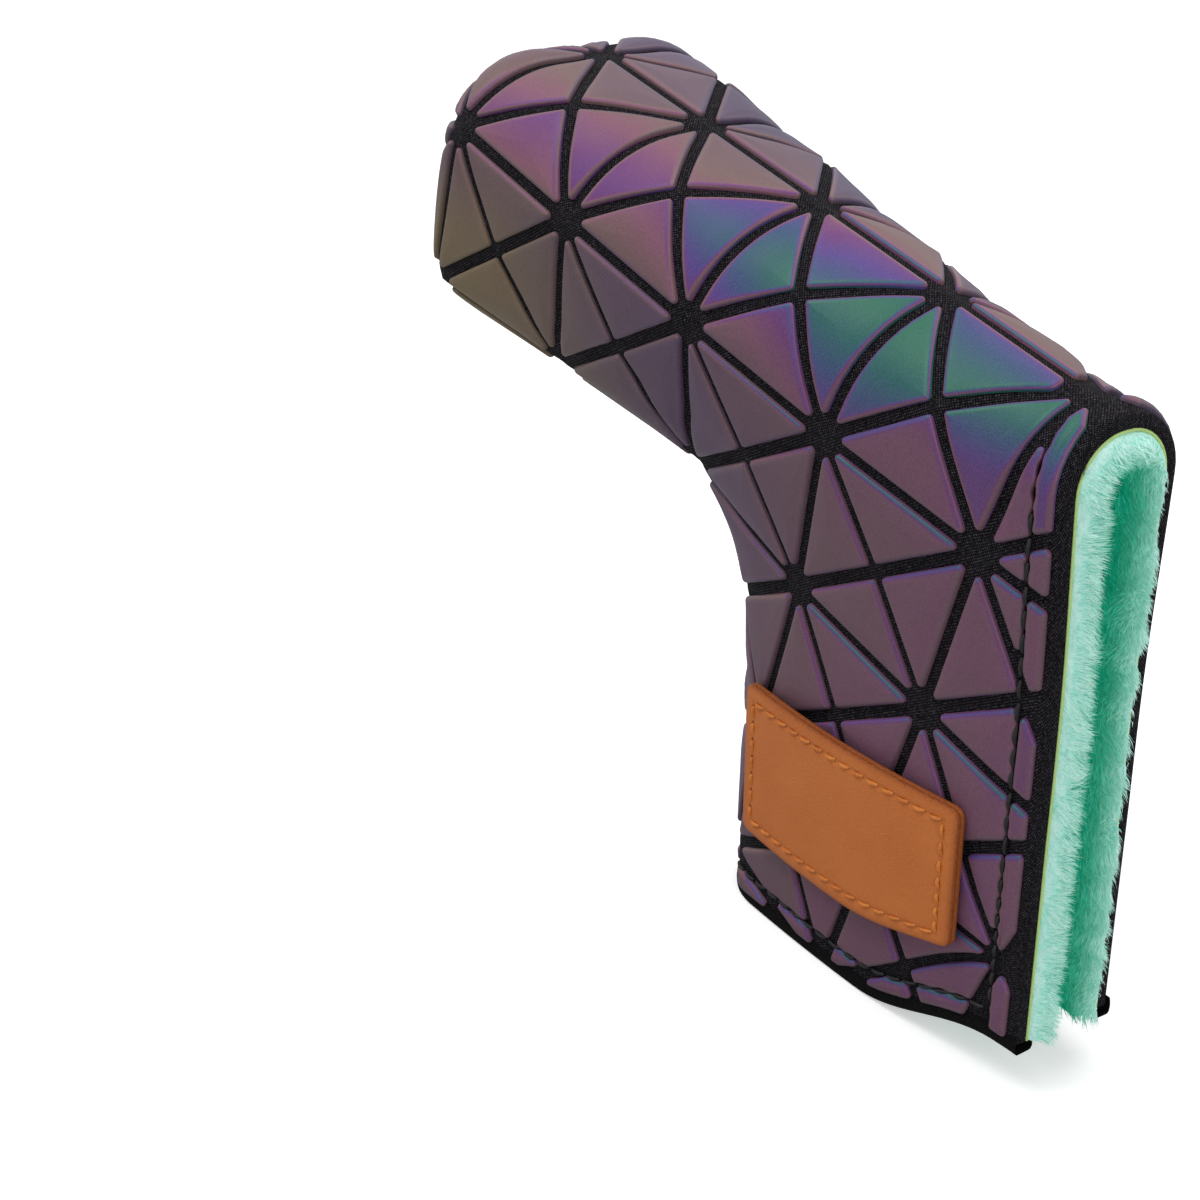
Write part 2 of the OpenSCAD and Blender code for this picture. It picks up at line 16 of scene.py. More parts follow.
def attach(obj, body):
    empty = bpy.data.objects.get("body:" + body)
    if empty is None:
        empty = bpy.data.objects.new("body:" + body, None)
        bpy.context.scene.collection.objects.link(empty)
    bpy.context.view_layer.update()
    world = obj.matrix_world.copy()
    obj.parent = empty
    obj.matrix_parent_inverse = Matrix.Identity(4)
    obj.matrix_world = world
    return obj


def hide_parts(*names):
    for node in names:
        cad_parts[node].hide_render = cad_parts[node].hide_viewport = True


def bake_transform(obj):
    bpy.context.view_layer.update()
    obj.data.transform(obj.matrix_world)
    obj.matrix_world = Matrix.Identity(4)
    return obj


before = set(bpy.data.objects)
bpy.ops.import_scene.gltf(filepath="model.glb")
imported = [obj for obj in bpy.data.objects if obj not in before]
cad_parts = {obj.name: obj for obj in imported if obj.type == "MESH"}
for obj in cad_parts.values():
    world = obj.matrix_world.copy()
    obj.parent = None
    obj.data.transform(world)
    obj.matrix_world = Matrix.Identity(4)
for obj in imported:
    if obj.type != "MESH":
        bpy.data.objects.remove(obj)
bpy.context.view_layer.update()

MM = 0.001

# ---- the boot's sizes; lip, label, tile bands and margins differ a little from the part's source ----
SHOULDER_Z, LIP_X, POUCH_LEN = 107.0, 69.0, 121.0
TILT = math.radians(13)
HALF_LIP, HALF_TOE, HALF_NECK = 11.0, 28.5, 9.5
POUCH_H, NECK_W, PLUMP = 46.5, 73.6, 1.5
SKIN, FOAM, PILE = 1.2, 1.8, 3.5
CELL, BAND, ROW_SHIFT, LEAN = 30.0, 2.0, 0.8, 0.1
CORNER_R, UNDER_R, FILLET, TOE_ROUND = 17.0, 12.0, 18.0, 10.0
SPREAD, LIP_OUT = 40.0, 6.6
LIP_MARGIN, STITCH_IN, STITCH_UP = 0.3, 3.4, 5.6
ARCH_MARGIN = 5.5
LABEL_LEN, LABEL_WIDE, LABEL_X, LABEL_Z = 50.0, 27.0, 8.2, 30.5

CT, ST = math.cos(TILT), math.sin(TILT)
X0 = LIP_X - LIP_OUT
INNER_X = LIP_X - NECK_W
FOLD_X = INNER_X + UNDER_R
SIDE_V = POUCH_H - UNDER_R
TOE_P = -POUCH_LEN
LIP_P0 = LIP_OUT / CT
ARC = UNDER_R * math.pi / 2
CUT_Z = SHOULDER_Z * 0.47
LINING_OUT = SKIN + FOAM

# ---- the tiles: how stiff, how high, and their bevelled edge ----
STIFF, MOST_PULL = 0.9, 2.4
TILE_RINGS = [(0.0, -0.3), (0.0, 0.36), (0.1, 0.58), (0.3, 0.76), (0.62, 0.86), (0.95, 0.89)]
TILE_CROWN = 0.22
CORNER_ROUND = 0.65
CHANNEL = 0.5        # the gap between tiles where the topstitch runs
SEAM_GAP = 2.3       # how far tiles keep from the middle plane at the seam and the spine
TOE_REACH = 8.5      # how far tiles go in over the toe end's face
LEAST_AREA, LEAST_LAID, LEAST_SLIM = 7, 6, 0.75

# where the colour-shift film turns green: a fixed highlight direction between the lamps and the view, at the
# shoulder and at the toe; the film's hues laid out from it are a painted reflection
GREEN_HIGHLIGHT_AT_SHOULDER = np.array([0.16, -0.70, 0.69])
GREEN_HIGHLIGHT_AT_TOE = np.array([0.42, -0.62, 0.66])


# =============================== the boot's surface ===============================

def ease(t):
    t = np.clip(t, 0, 1)
    return t * t * (3 - 2 * t)


def unit(v):
    return v / np.maximum(np.linalg.norm(v, axis=-1, keepdims=True), 1e-9)


def taper(p):
    return np.clip((SPREAD - p) / (SPREAD + POUCH_LEN + TOE_ROUND), 1e-9, 1) ** 0.7


def half_top(p):
    return HALF_TOE - (HALF_TOE - HALF_LIP) * (1 - taper(p)) / (1 - taper(LIP_P0))


def half_at(p, v):
    wide = half_top(p)
    towards_neck = ease((v - 15) / 48) * np.clip((p + POUCH_LEN) / 60, 0, 1)
    return wide - (wide - HALF_NECK) * towards_neck


def round_at(p):
    return np.minimum(CORNER_R, half_top(p) - 0.5)


def extra(p):
    return half_top(p) - round_at(p) * (2 - math.pi / 2)


def to_xz(p, v):
    return X0 + p * CT - v * ST, SHOULDER_Z - p * ST - v * CT


def to_pv(x, z):
    return ((x - X0) * CT - (z - SHOULDER_Z) * ST, -(x - X0) * ST - (z - SHOULDER_Z) * CT)


def past_fold(x, v):
    """Distance past the flat side, and how far it is the underside (1) or the inner fold (0)."""
    dv, dx = v - SIDE_V, FOLD_X - x
    h = np.clip(0.5 + 0.5 * (dx - dv) / FILLET, 0, 1)
    return dx + (dv - dx) * h - FILLET * h * (1 - h), h


def swell(x, z):
    across = np.sin(math.pi * np.clip((x - INNER_X) / NECK_W, 0, 1))
    return PLUMP * across * (1 - ease((z - 0.5 * SHOULDER_Z) / (0.45 * SHOULDER_Z)))


def side_at(x, z):
    """The label side, from its flat pattern; y is negative."""
    _, v = to_pv(x, z)
    d, h = past_fold(x, v)
    d = np.maximum(d, 0)
    turn = np.clip(d / UNDER_R, 0, math.pi / 2)
    depth = UNDER_R * np.sin(turn)
    inset = UNDER_R * (1 - np.cos(turn)) + np.maximum(d - ARC, 0)
    gx, gz = -h * ST - (1 - h), -h * CT
    back = d - depth
    bx, bz = x - gx * back, z - gz * back
    p, v = to_pv(x - gx * d, z - gz * d)
    full = half_at(p, v) - inset + swell(bx, bz) * np.clip(1 - inset / UNDER_R, 0, 1)
    return np.stack([bx, -full, bz], -1)


def near_at(p, q):
    r = round_at(p)
    flat = half_top(p) - r
    t = np.clip((q - flat) / r, 0, math.pi / 2)
    cx, cz = to_xz(p, r * (1 - np.cos(t)))
    top = np.stack([cx, -(np.minimum(q, flat) + r * np.sin(t)), cz], -1)
    side = side_at(*to_xz(p, q - extra(p)))
    return np.where((q > flat + r * math.pi / 2)[..., None], side, top)


TOE_MID = np.array([to_xz(TOE_P, POUCH_H / 2)[0], 0, to_xz(TOE_P, POUCH_H / 2)[1]])
TOE_WAY = np.array([-CT, 0, ST])


def boot_at(p, q):
    """The smooth shell, its rounded toe end included."""
    p, q = np.broadcast_arrays(np.asarray(p, float), np.asarray(q, float))
    v = near_at(np.maximum(p, TOE_P), np.abs(q))
    v[..., 1] *= np.where(q < 0, -1, 1)
    past = np.maximum(TOE_P - p, 0)
    a = np.clip(past / TOE_ROUND, 0, math.pi / 2)
    rim = 1 - TOE_ROUND / HALF_TOE * (1 - np.cos(a))
    spoke = v - TOE_MID
    m = np.maximum(past - ARC * TOE_ROUND / UNDER_R, 0)
    m = m / (np.linalg.norm(spoke, axis=-1) * rim)
    shrunk = TOE_MID + spoke * (rim * np.clip(1 - m, 0.03, 1))[..., None]
    shrunk = shrunk + (TOE_ROUND * np.sin(a) + 1.5 * ease(m))[..., None] * TOE_WAY
    return np.where((past > 0)[..., None], shrunk, v)


def out_of(surface, p, q, step=0.6):
    dp = surface(p + step, q) - surface(p - step, q)
    dq = surface(p, q + step) - surface(p, q - step)
    return unit(np.cross(dq, dp))


def lip_p(q):
    """p of the upright lip at q."""
    q = np.abs(q)
    p = np.full_like(q, LIP_P0)
    for _ in range(3):
        r = round_at(p)
        t = np.clip((q - half_top(p) + r) / r, 0, math.pi / 2)
        drop = np.where(t < math.pi / 2, r * (1 - np.cos(t)), q - extra(p))
        p = (LIP_OUT + drop * ST) / CT
    return p


def hub(i, j):
    """Flat place of the pattern's corner i, j."""
    q = j * CELL + ROW_SHIFT
    return i * CELL - LEAN * (np.abs(q) - CELL), q


def plate_at(p, q):
    """The shell with its stiff tiles: drawn part of the way to flat triangles between hubs."""
    base = boot_at(p, q)
    jf = (q - ROW_SHIFT) / CELL
    j = np.floor(jf)
    b = jf - j
    q0 = j * CELL + ROW_SHIFT
    lean = LEAN * (np.abs(q0) * (1 - b) + np.abs(q0 + CELL) * b - CELL)
    fi = (p + lean) / CELL
    i = np.floor(fi)
    a = fi - i
    shares = [(0, 0, np.maximum(1 - a - b, 0)), (1, 1, np.maximum(a + b - 1, 0)),
              (1, 0, np.maximum(a - b, 0)), (0, 1, np.maximum(b - a, 0))]
    left = 1 - sum(s[2] for s in shares)
    flat = sum(boot_at(*hub(i + di, j + dj)) * w[..., None] for di, dj, w in shares)
    flat = flat + boot_at(*hub(i + 0.5, j + 0.5)) * left[..., None]
    pull = flat - base
    size = np.linalg.norm(pull, axis=-1)
    hold = STIFF * MOST_PULL / (MOST_PULL + size)
    hold = hold * ease((lip_p(q) - p - 1) / 9) * ease((base[..., 2] - 0.5) / 9)
    hold = hold * ease((np.abs(base[..., 1]) - 2 + 9 * (base[..., 2] > 96)) / 7)
    hold = hold * np.clip(1 - (TOE_P - 12 - p) / 10, 0, 1)
    return base + pull * hold[..., None]


def shell_at(p, q, out, surface=plate_at):
    p, q, out = np.broadcast_arrays(*(np.asarray(a, float) for a in (p, q, out)))
    return surface(p, q) + out[..., None] * out_of(boot_at, p, q)


def side_pq(x, z):
    p, v = to_pv(x, z)
    return p, v + extra(p)


# ---- where the shell ends: at the seam under the pouch, and at the spine ----

def end_q(p, gap, floor=0.3):
    """q where the column p meets the seam under the pouch, the spine, or the neck end."""
    low = extra(p) + POUCH_H * 0.6
    high = (SHOULDER_Z - floor - p * ST) / CT + extra(p)
    whole = -boot_at(p, high)[..., 1] > gap
    a, b = low.copy(), high.copy()
    for _ in range(20):
        m = (a + b) / 2
        outside = -boot_at(p, m)[..., 1] > gap
        a, b = np.where(outside, m, a), np.where(outside, b, m)
    return np.where(whole, high, (a + b) / 2)


def end_x(z, gap):
    a, b = np.full_like(z, FOLD_X - 60), np.full_like(z, FOLD_X)
    for _ in range(18):
        m = (a + b) / 2
        outside = -side_at(m, z)[..., 1] > gap
        a, b = np.where(outside, a, m), np.where(outside, m, b)
    return (a + b) / 2


def off_seam(p, q, gap):
    """Points past the seam or the spine slide back until gap from the middle plane."""
    side = np.where(q < 0, -1.0, 1.0)
    q = np.abs(q)
    for _ in range(3):
        on = np.maximum(p, TOE_P)
        x, z = to_xz(on, q - extra(on))
        _, v = to_pv(x, z)
        d, h = past_fold(x, v)
        gx, gz = -h * ST - (1 - h), -h * CT
        room = half_at(*to_pv(x - gx * d, z - gz * d)) - gap
        limit = np.where(room > UNDER_R, room - UNDER_R + ARC,
                         UNDER_R * np.arccos(np.clip(1 - room / UNDER_R, -1, 1)))
        over = np.maximum(d - limit, 0) * (q > extra(on) + 20)
        p2, v2 = to_pv(x - gx * over, z - gz * over)
        moved = over > 0
        p = np.where(moved & (p >= TOE_P), p2, p)
        q = np.where(moved, v2 + extra(np.maximum(p, TOE_P)), q)
    return p, q * side


# =============================== mesh helpers ===============================

# the lip end of the neck's foot: its rise, and where along x and up to what height it is felt
FOOT_RISE, RISE_FROM, RISE_OVER, RISE_TALL = 7.5, 36, 30, 34


def lifted(points):
    """The lip end of the neck's foot stands a little off the ground."""
    points = np.array(points, float)
    along, up = (points[:, 0] - RISE_FROM) / RISE_OVER, (points[:, 2] - 2) / RISE_TALL
    rise = FOOT_RISE * ease(along) * (1 - ease(up))
    points[:, 2] += rise * (points[:, 2] > 0)
    return points


def make(name, verts, faces, material, numbers=None, smooth=True, weave=None):
    """An object from points in millimetres, with numbers stored on its points."""
    verts = lifted(verts)
    mesh = bpy.data.meshes.new(name)
    mesh.from_pydata((np.asarray(verts, float) * MM).tolist(), [], [list(map(int, f)) for f in faces])
    for key, values in (numbers or {}).items():
        slot = mesh.attributes.new(key, "FLOAT", "POINT")
        slot.data.foreach_set("value", np.asarray(values, np.float32))
    if weave is not None:
        slot = mesh.attributes.new("weave", "FLOAT_VECTOR", "POINT")
        flat = np.column_stack([np.asarray(weave, float), np.zeros(len(weave))])
        slot.data.foreach_set("vector", flat.astype(np.float32).ravel())
    mesh.validate()
    mesh.update()
    if smooth:
        mesh.polygons.foreach_set("use_smooth", [True] * len(mesh.polygons))
    mesh.materials.append(material)
    obj = bpy.data.objects.new(name, mesh)
    bpy.context.scene.collection.objects.link(obj)
    return obj


def strip_faces(rows, cols, start=0, wrap=False, flip=False):
    faces = []
    last = cols if wrap else cols - 1
    for r in range(rows - 1):
        for c in range(last):
            k, m = start + r * cols + c, start + r * cols + (c + 1) % cols
            f = (k, m, m + cols, k + cols)
            faces.append(f[::-1] if flip else f)
    return faces


class Pieces:
    """Gathers several patches into one mesh."""

    def __init__(self):
        self.verts, self.faces, self.weave, self.numbers, self.count = [], [], [], {}, 0

    def add(self, verts, faces, weave=None, **numbers):
        verts = np.asarray(verts, float).reshape(-1, 3)
        self.verts.append(verts)
        self.faces += [tuple(i + self.count for i in f) for f in faces]
        if weave is not None:
            self.weave.append(np.asarray(weave, float).reshape(-1, 2))
        for key, value in numbers.items():
            self.numbers.setdefault(key, []).append(np.broadcast_to(value, len(verts)))
        self.count += len(verts)

    def add_grid(self, points, weave=None, wrap=False, flip=False, **numbers):
        rows, cols = points.shape[:2]
        faces = strip_faces(rows, cols, 0, wrap, flip)
        self.add(points, faces, weave, **{k: np.asarray(v).reshape(-1) for k, v in numbers.items()})

    def build(self, name, material, smooth=True):
        numbers = {k: np.concatenate(v) for k, v in self.numbers.items()}
        weave = np.concatenate(self.weave) if self.weave else None
        return make(name, np.concatenate(self.verts), self.faces, material, numbers, smooth, weave)


def mirrored(points, side):
    """The label side's points for side 1, the other side's for side -1."""
    return points * np.array([1, side, 1])


def tube(path, radius, sides=8, squash=None):
    """Rings round a path of points, for a cord, a piping or a thread."""
    path = np.asarray(path, float)
    along = unit(np.gradient(path, axis=0))
    up = np.tile([0.0, 0.0, 1.0], (len(path), 1))
    up[np.abs(along[:, 2]) > 0.9] = [0, 1, 0]
    a = unit(np.cross(along, up))
    b = np.cross(along, a)
    turn = np.linspace(0, 2 * math.pi, sides, endpoint=False)
    radius = np.broadcast_to(radius, len(path))[:, None, None]
    return (path[:, None] + radius * (np.cos(turn)[None, :, None] * a[:, None]
            + np.sin(turn)[None, :, None] * b[:, None]))


def add_stitch(group, a, b, out, thick=0.38, arch=0.3, shade=0.5):
    """One stitch from a to b: a short thread that rises out of the work and dips back in."""
    steps = np.linspace(0, 1, 7)
    path = a + (b - a) * steps[:, None] + out * (arch * np.sin(math.pi * steps) - 0.18)[:, None]
    body = thick * (0.72 + 0.28 * np.sin(math.pi * steps))
    group.add_grid(tube(path, body, 6), wrap=True, shade=np.full((7, 6), shade))


def rumple(points, size, seed, waves=14):
    """Smooth seeded noise, about -1 to 1, with lumps about size millimetres across."""
    source = np.random.default_rng(seed)
    ways = unit(source.normal(size=(waves, 3))) * (2 * math.pi / size) * source.uniform(0.6, 1.6, (waves, 1))
    phase = source.uniform(0, 2 * math.pi, waves)
    flat = np.asarray(points, float).reshape(-1, 3)
    total = np.sin(flat @ ways.T + phase).sum(1) / math.sqrt(waves / 2)
    return (total * 0.55).reshape(np.shape(points)[:-1])


def point_normals(verts, faces):
    normals = np.zeros_like(verts)
    for n in (3, 4):
        some = np.array([f for f in faces if len(f) == n])
        if not len(some):
            continue
        a, b, c, d = (verts[some[:, k]] for k in (0, 1, 2, -1))
        across = np.cross(c - a, d - b) if n == 4 else np.cross(b - a, c - a)
        for k in range(n):
            np.add.at(normals, some[:, k], across)
    return unit(normals)


def flat_measure(rings, first, second):
    """The cloth's own flat measure over a patch, from a value for each row and each column."""
    shape = rings.shape[:2]
    return np.stack([np.broadcast_to(first, shape), np.broadcast_to(second, shape)], -1)


# =============================== materials ===============================

def srgb(r, g, b):
    """A colour written as 0 to 255, as a linear colour."""
    c = np.array([r, g, b]) / 255
    return (*np.where(c <= 0.04045, c / 12.92, ((c + 0.055) / 1.055) ** 2.4), 1.0)


def new_group(name, inputs, outputs):
    tree = bpy.data.node_groups.new(name, "ShaderNodeTree")
    for label, kind, value in inputs:
        socket = tree.interface.new_socket(label, in_out="INPUT", socket_type=kind)
        if value is not None:
            socket.default_value = value
    for label, kind in outputs:
        tree.interface.new_socket(label, in_out="OUTPUT", socket_type=kind)
    return tree, tree.nodes.new("NodeGroupInput"), tree.nodes.new("NodeGroupOutput")


def feed(tree, socket, value):
    """Joins a socket to another one, or sets its plain value."""
    if isinstance(value, bpy.types.NodeSocket):
        tree.links.new(value, socket)
    else:
        socket.default_value = value


def add(tree, kind, links=None, **settings):
    """A node, with its settings and what feeds it. Links are values, or sockets to join."""
    node = tree.nodes.new(kind)
    for key, value in settings.items():
        setattr(node, key, value)
    for key, value in (links or {}).items():
        feed(tree, node.inputs[key], value)
    return node


def math_node(tree, operation, *values):
    links = {k: v for k, v in enumerate(values)}
    return add(tree, "ShaderNodeMath", links, operation=operation).outputs[0]


def ramp(tree, factor, stops):
    node = add(tree, "ShaderNodeValToRGB", {"Fac": factor})
    band = node.color_ramp
    while len(band.elements) < len(stops):
        band.elements.new(0.5)
    for element, (at, colour) in zip(band.elements, stops):
        element.position, element.color = at, colour
    return node.outputs["Color"]


def mix(tree, factor, one, two):
    node = add(tree, "ShaderNodeMix", data_type="RGBA")
    for socket, value in ((0, factor), (6, one), (7, two)):
        feed(tree, node.inputs[socket], value)
    return node.outputs[2]


def film_colour_group():
    """Colour-shift film: green where it faces a fixed highlight direction of the lamps and the view, then
    blue, violet, bronze and mauve further away, as a painted reflection.
    """
    tree, given, out = new_group(
        "film_colour",
        [("Turn", "NodeSocketFloat", 0.5), ("Bronze", "NodeSocketFloat", 0.0),
         ("Down Shade", "NodeSocketFloat", 0.0), ("Speck", "NodeSocketFloat", 0.5)],
        [("Colour", "NodeSocketColor")])
    # the hues run outwards from the highlight direction: a painted reflection laid over the film's own
    # colours
    turn = ramp(tree, given.outputs["Turn"], [
        (0.00, srgb(20, 104, 80)), (0.10, srgb(22, 92, 92)), (0.19, srgb(50, 76, 118)),
        (0.27, srgb(82, 60, 134)), (0.36, srgb(108, 50, 114)), (0.46, srgb(130, 82, 102)),
        (0.57, srgb(118, 92, 88)), (0.70, srgb(104, 80, 88)), (0.86, srgb(84, 68, 94)),
        (1.00, srgb(66, 58, 86))])
    # faces that turn down are darkened towards a dark purple: painted shade, as the lamps light mostly from
    # above
    plum = mix(tree, math_node(tree, "MULTIPLY", given.outputs["Down Shade"], 0.5), turn,
               srgb(92, 64, 88))
    side = mix(tree, given.outputs["Bronze"], plum, srgb(118, 104, 60))
    dark = mix(tree, 0.22, side, srgb(24, 18, 28))
    light = mix(tree, 0.06, side, srgb(215, 200, 215))
    speck = mix(tree, given.outputs["Speck"], dark, light)
    tree.links.new(speck, out.inputs["Colour"])
    return tree


def grain_group():
    """Fine grain of a pressed film or of leather: a height, and a mask for its specks."""
    tree, given, out = new_group(
        "fine_grain", [("Scale", "NodeSocketFloat", 3000.0), ("Softness", "NodeSocketFloat", 0.5)],
        [("Height", "NodeSocketFloat"), ("Speck", "NodeSocketFloat")])
    place = add(tree, "ShaderNodeTexCoord").outputs["Object"]
    fine = add(tree, "ShaderNodeTexNoise",
               {"Vector": place, "Scale": given.outputs["Scale"], "Detail": 2.0,
                "Roughness": given.outputs["Softness"]})
    large = add(tree, "ShaderNodeTexNoise", {"Vector": place, "Scale": 160.0, "Detail": 2.0})
    height = math_node(tree, "ADD", math_node(tree, "MULTIPLY", fine.outputs["Fac"], 0.85),
                       math_node(tree, "MULTIPLY", large.outputs["Fac"], 0.15))
    spread = add(tree, "ShaderNodeMapRange",
                 {"Value": fine.outputs["Fac"], "From Min": 0.28, "From Max": 0.72})
    tree.links.new(height, out.inputs["Height"])
    tree.links.new(spread.outputs["Result"], out.inputs["Speck"])
    return tree


def weave_group():
    """Plain weave: threads that pass over and under, from the cloth's own flat measure; its Thread output,
    the crowns' share, is used for painted sheen.
    """
    tree, given, out = new_group(
        "plain_weave", [("Flat", "NodeSocketVector", None), ("Pitch", "NodeSocketFloat", 0.55)],
        [("Height", "NodeSocketFloat"), ("Thread", "NodeSocketFloat")])
    parts = add(tree, "ShaderNodeSeparateXYZ", {0: given.outputs["Flat"]})
    turned = math_node(tree, "DIVIDE", math_node(tree, "ADD", parts.outputs[0], parts.outputs[1]),
                       given.outputs["Pitch"])
    crossed = math_node(tree, "DIVIDE",
                        math_node(tree, "SUBTRACT", parts.outputs[0], parts.outputs[1]),
                        given.outputs["Pitch"])
    warp = math_node(tree, "ABSOLUTE",
                     math_node(tree, "SINE", math_node(tree, "MULTIPLY", turned, math.pi)))
    weft = math_node(tree, "ABSOLUTE",
                     math_node(tree, "SINE", math_node(tree, "MULTIPLY", crossed, math.pi)))
    sides = math_node(tree, "ADD", math_node(tree, "FLOOR", turned), math_node(tree, "FLOOR", crossed))
    over = math_node(tree, "MODULO", math_node(tree, "ABSOLUTE", sides), 2.0)
    chosen = add(tree, "ShaderNodeMix", {0: over, 2: warp, 3: weft}, data_type="FLOAT").outputs[0]
    other = add(tree, "ShaderNodeMix", {0: over, 2: weft, 3: warp}, data_type="FLOAT").outputs[0]
    height = math_node(tree, "MULTIPLY", chosen, math_node(tree, "POWER", other, 0.5))
    tree.links.new(height, out.inputs["Height"])
    tree.links.new(math_node(tree, "POWER", height, 2.0), out.inputs["Thread"])
    return tree


def pile_colour_group():
    """Fleece: deep turquoise at the roots and inside, pale mint at the tips near the lip; the paler lip is a
    painted highlight where it catches the lamps, and the deeper inside is painted shade.
    """
    tree, given, out = new_group(
        "pile_colour",
        [("Tip", "NodeSocketFloat", 0.5), ("Depth", "NodeSocketFloat", 0.0),
         ("Clump", "NodeSocketFloat", 0.5)],
        [("Colour", "NodeSocketColor")])
    near = ramp(tree, given.outputs["Tip"], [
        (0.0, srgb(132, 220, 204)), (0.4, srgb(190, 238, 228)), (1.0, srgb(234, 251, 246))])
    deep = ramp(tree, given.outputs["Tip"], [
        (0.0, srgb(0, 166, 136)), (0.6, srgb(8, 196, 162)), (1.0, srgb(72, 220, 190))])
    # pale at the lip and deep inside: painted highlight on the lip, painted shade in the pocket
    both = mix(tree, given.outputs["Depth"], near, deep)
    shade = mix(tree, 0.16, both, srgb(0, 160, 135))
    clumped = mix(tree, given.outputs["Clump"], shade, both)
    tree.links.new(clumped, out.inputs["Colour"])
    return tree


GROUPS = {"film": film_colour_group(), "grain": grain_group(), "weave": weave_group(),
          "pile": pile_colour_group()}


def new_material(name, **gloss):
    """A material and its Principled shader, with the shader's own plain values set on it."""
    material = bpy.data.materials.new(name)
    material.use_nodes = True
    tree = material.node_tree
    shader = next(n for n in tree.nodes if n.type == "BSDF_PRINCIPLED")
    for key, value in gloss.items():
        shader.inputs[key.replace("_", " ")].default_value = value
    return material, tree, shader


def use(tree, which, links):
    node = tree.nodes.new("ShaderNodeGroup")
    node.node_tree = GROUPS[which]
    for key, value in links.items():
        feed(tree, node.inputs[key], value)
    return node


def number(tree, name):
    return add(tree, "ShaderNodeAttribute", attribute_name=name).outputs["Fac"]


def bump(tree, shader, height, strength, distance):
    node = add(tree, "ShaderNodeBump", {"Height": height, "Strength": strength, "Distance": distance})
    tree.links.new(node.outputs["Normal"], shader.inputs["Normal"])


def drive(tree, shader, socket, value, low, high):
    """Sets one of the shader's sockets between two values."""
    node = add(tree, "ShaderNodeMapRange", {"Value": value, "To Min": low, "To Max": high})
    tree.links.new(node.outputs["Result"], shader.inputs[socket])


def film_material():
    material, tree, shader = new_material(
        "colour_shift_film", Metallic=0.0, IOR=1.45, Specular_IOR_Level=0.22,
        Coat_Roughness=0.36)
    grain = use(tree, "grain", {"Scale": 5200.0, "Softness": 0.6})
    colour = use(tree, "film", {"Turn": number(tree, "turn"), "Bronze": number(tree, "bronze"),
                                "Down Shade": number(tree, "plum"), "Speck": grain.outputs["Speck"]})
    tree.links.new(colour.outputs["Colour"], shader.inputs["Base Color"])
    drive(tree, shader, "Roughness", grain.outputs["Speck"], 0.40, 0.56)
    drive(tree, shader, "Coat Weight", number(tree, "edge"), 0.0, 0.14)
    bump(tree, shader, grain.outputs["Height"], 0.35, 0.00006)
    return material


def woven_material(name, low, high, pitch=0.55, strength=0.9):
    material, tree, shader = new_material(name, Specular_IOR_Level=0.08)
    flat = add(tree, "ShaderNodeAttribute", attribute_name="weave").outputs["Vector"]
    weave = use(tree, "weave", {"Flat": flat, "Pitch": pitch})
    grain = use(tree, "grain", {"Scale": 2600.0, "Softness": 0.7})
    # the threads' crowns are painted lighter where the grain's random specks fall: painted sheen on the
    # weave
    thread = math_node(tree, "MULTIPLY", weave.outputs["Thread"],
                       math_node(tree, "POWER", grain.outputs["Speck"], 2.0))
    tree.links.new(mix(tree, thread, low, high), shader.inputs["Base Color"])
    drive(tree, shader, "Roughness", thread, 0.82, 0.58)
    bump(tree, shader, weave.outputs["Height"], strength, 0.00022)
    return material


def pile_material(name, sheen):
    # the fleece glows a little in its own colour: painted light standing in for light shining through the
    # pile
    material, tree, shader = new_material(name, Roughness=0.9, Specular_IOR_Level=0.03,
                                          Sheen_Weight=sheen, Sheen_Roughness=0.45,
                                          Emission_Strength=0.15)
    grain = use(tree, "grain", {"Scale": 900.0, "Softness": 0.7})
    colour = use(tree, "pile", {"Tip": number(tree, "tip"), "Depth": number(tree, "depth"),
                                "Clump": grain.outputs["Speck"]})
    tree.links.new(colour.outputs["Colour"], shader.inputs["Base Color"])
    # painted glow in the fleece's colour
    tree.links.new(colour.outputs["Colour"], shader.inputs["Emission Color"])
    bump(tree, shader, grain.outputs["Height"], 0.8, 0.0008)
    return material


def leather_material():
    material, tree, shader = new_material("tan_leather", Specular_IOR_Level=0.2)
    grain = use(tree, "grain", {"Scale": 2100.0, "Softness": 0.75})
    place = add(tree, "ShaderNodeTexCoord").outputs["Object"]
    pores = add(tree, "ShaderNodeTexVoronoi", {"Vector": place, "Scale": 1900.0},
                feature="DISTANCE_TO_EDGE").outputs["Distance"]
    clouds = add(tree, "ShaderNodeTexNoise", {"Vector": place, "Scale": 90.0, "Detail": 3.0})
    tone = mix(tree, clouds.outputs["Fac"], srgb(184, 98, 42), srgb(204, 118, 56))
    edge = mix(tree, number(tree, "edge"), tone, srgb(140, 68, 26))
    speck = mix(tree, math_node(tree, "MULTIPLY", grain.outputs["Speck"], 0.25), edge,
                srgb(214, 138, 78))
    tree.links.new(speck, shader.inputs["Base Color"])
    drive(tree, shader, "Roughness", grain.outputs["Speck"], 0.44, 0.58)
    creases = math_node(tree, "MULTIPLY", math_node(tree, "MINIMUM", pores, 0.2), 3.0)
    height = math_node(tree, "ADD", creases, math_node(tree, "MULTIPLY", grain.outputs["Height"], 0.7))
    bump(tree, shader, height, 0.45, 0.00012)
    return material


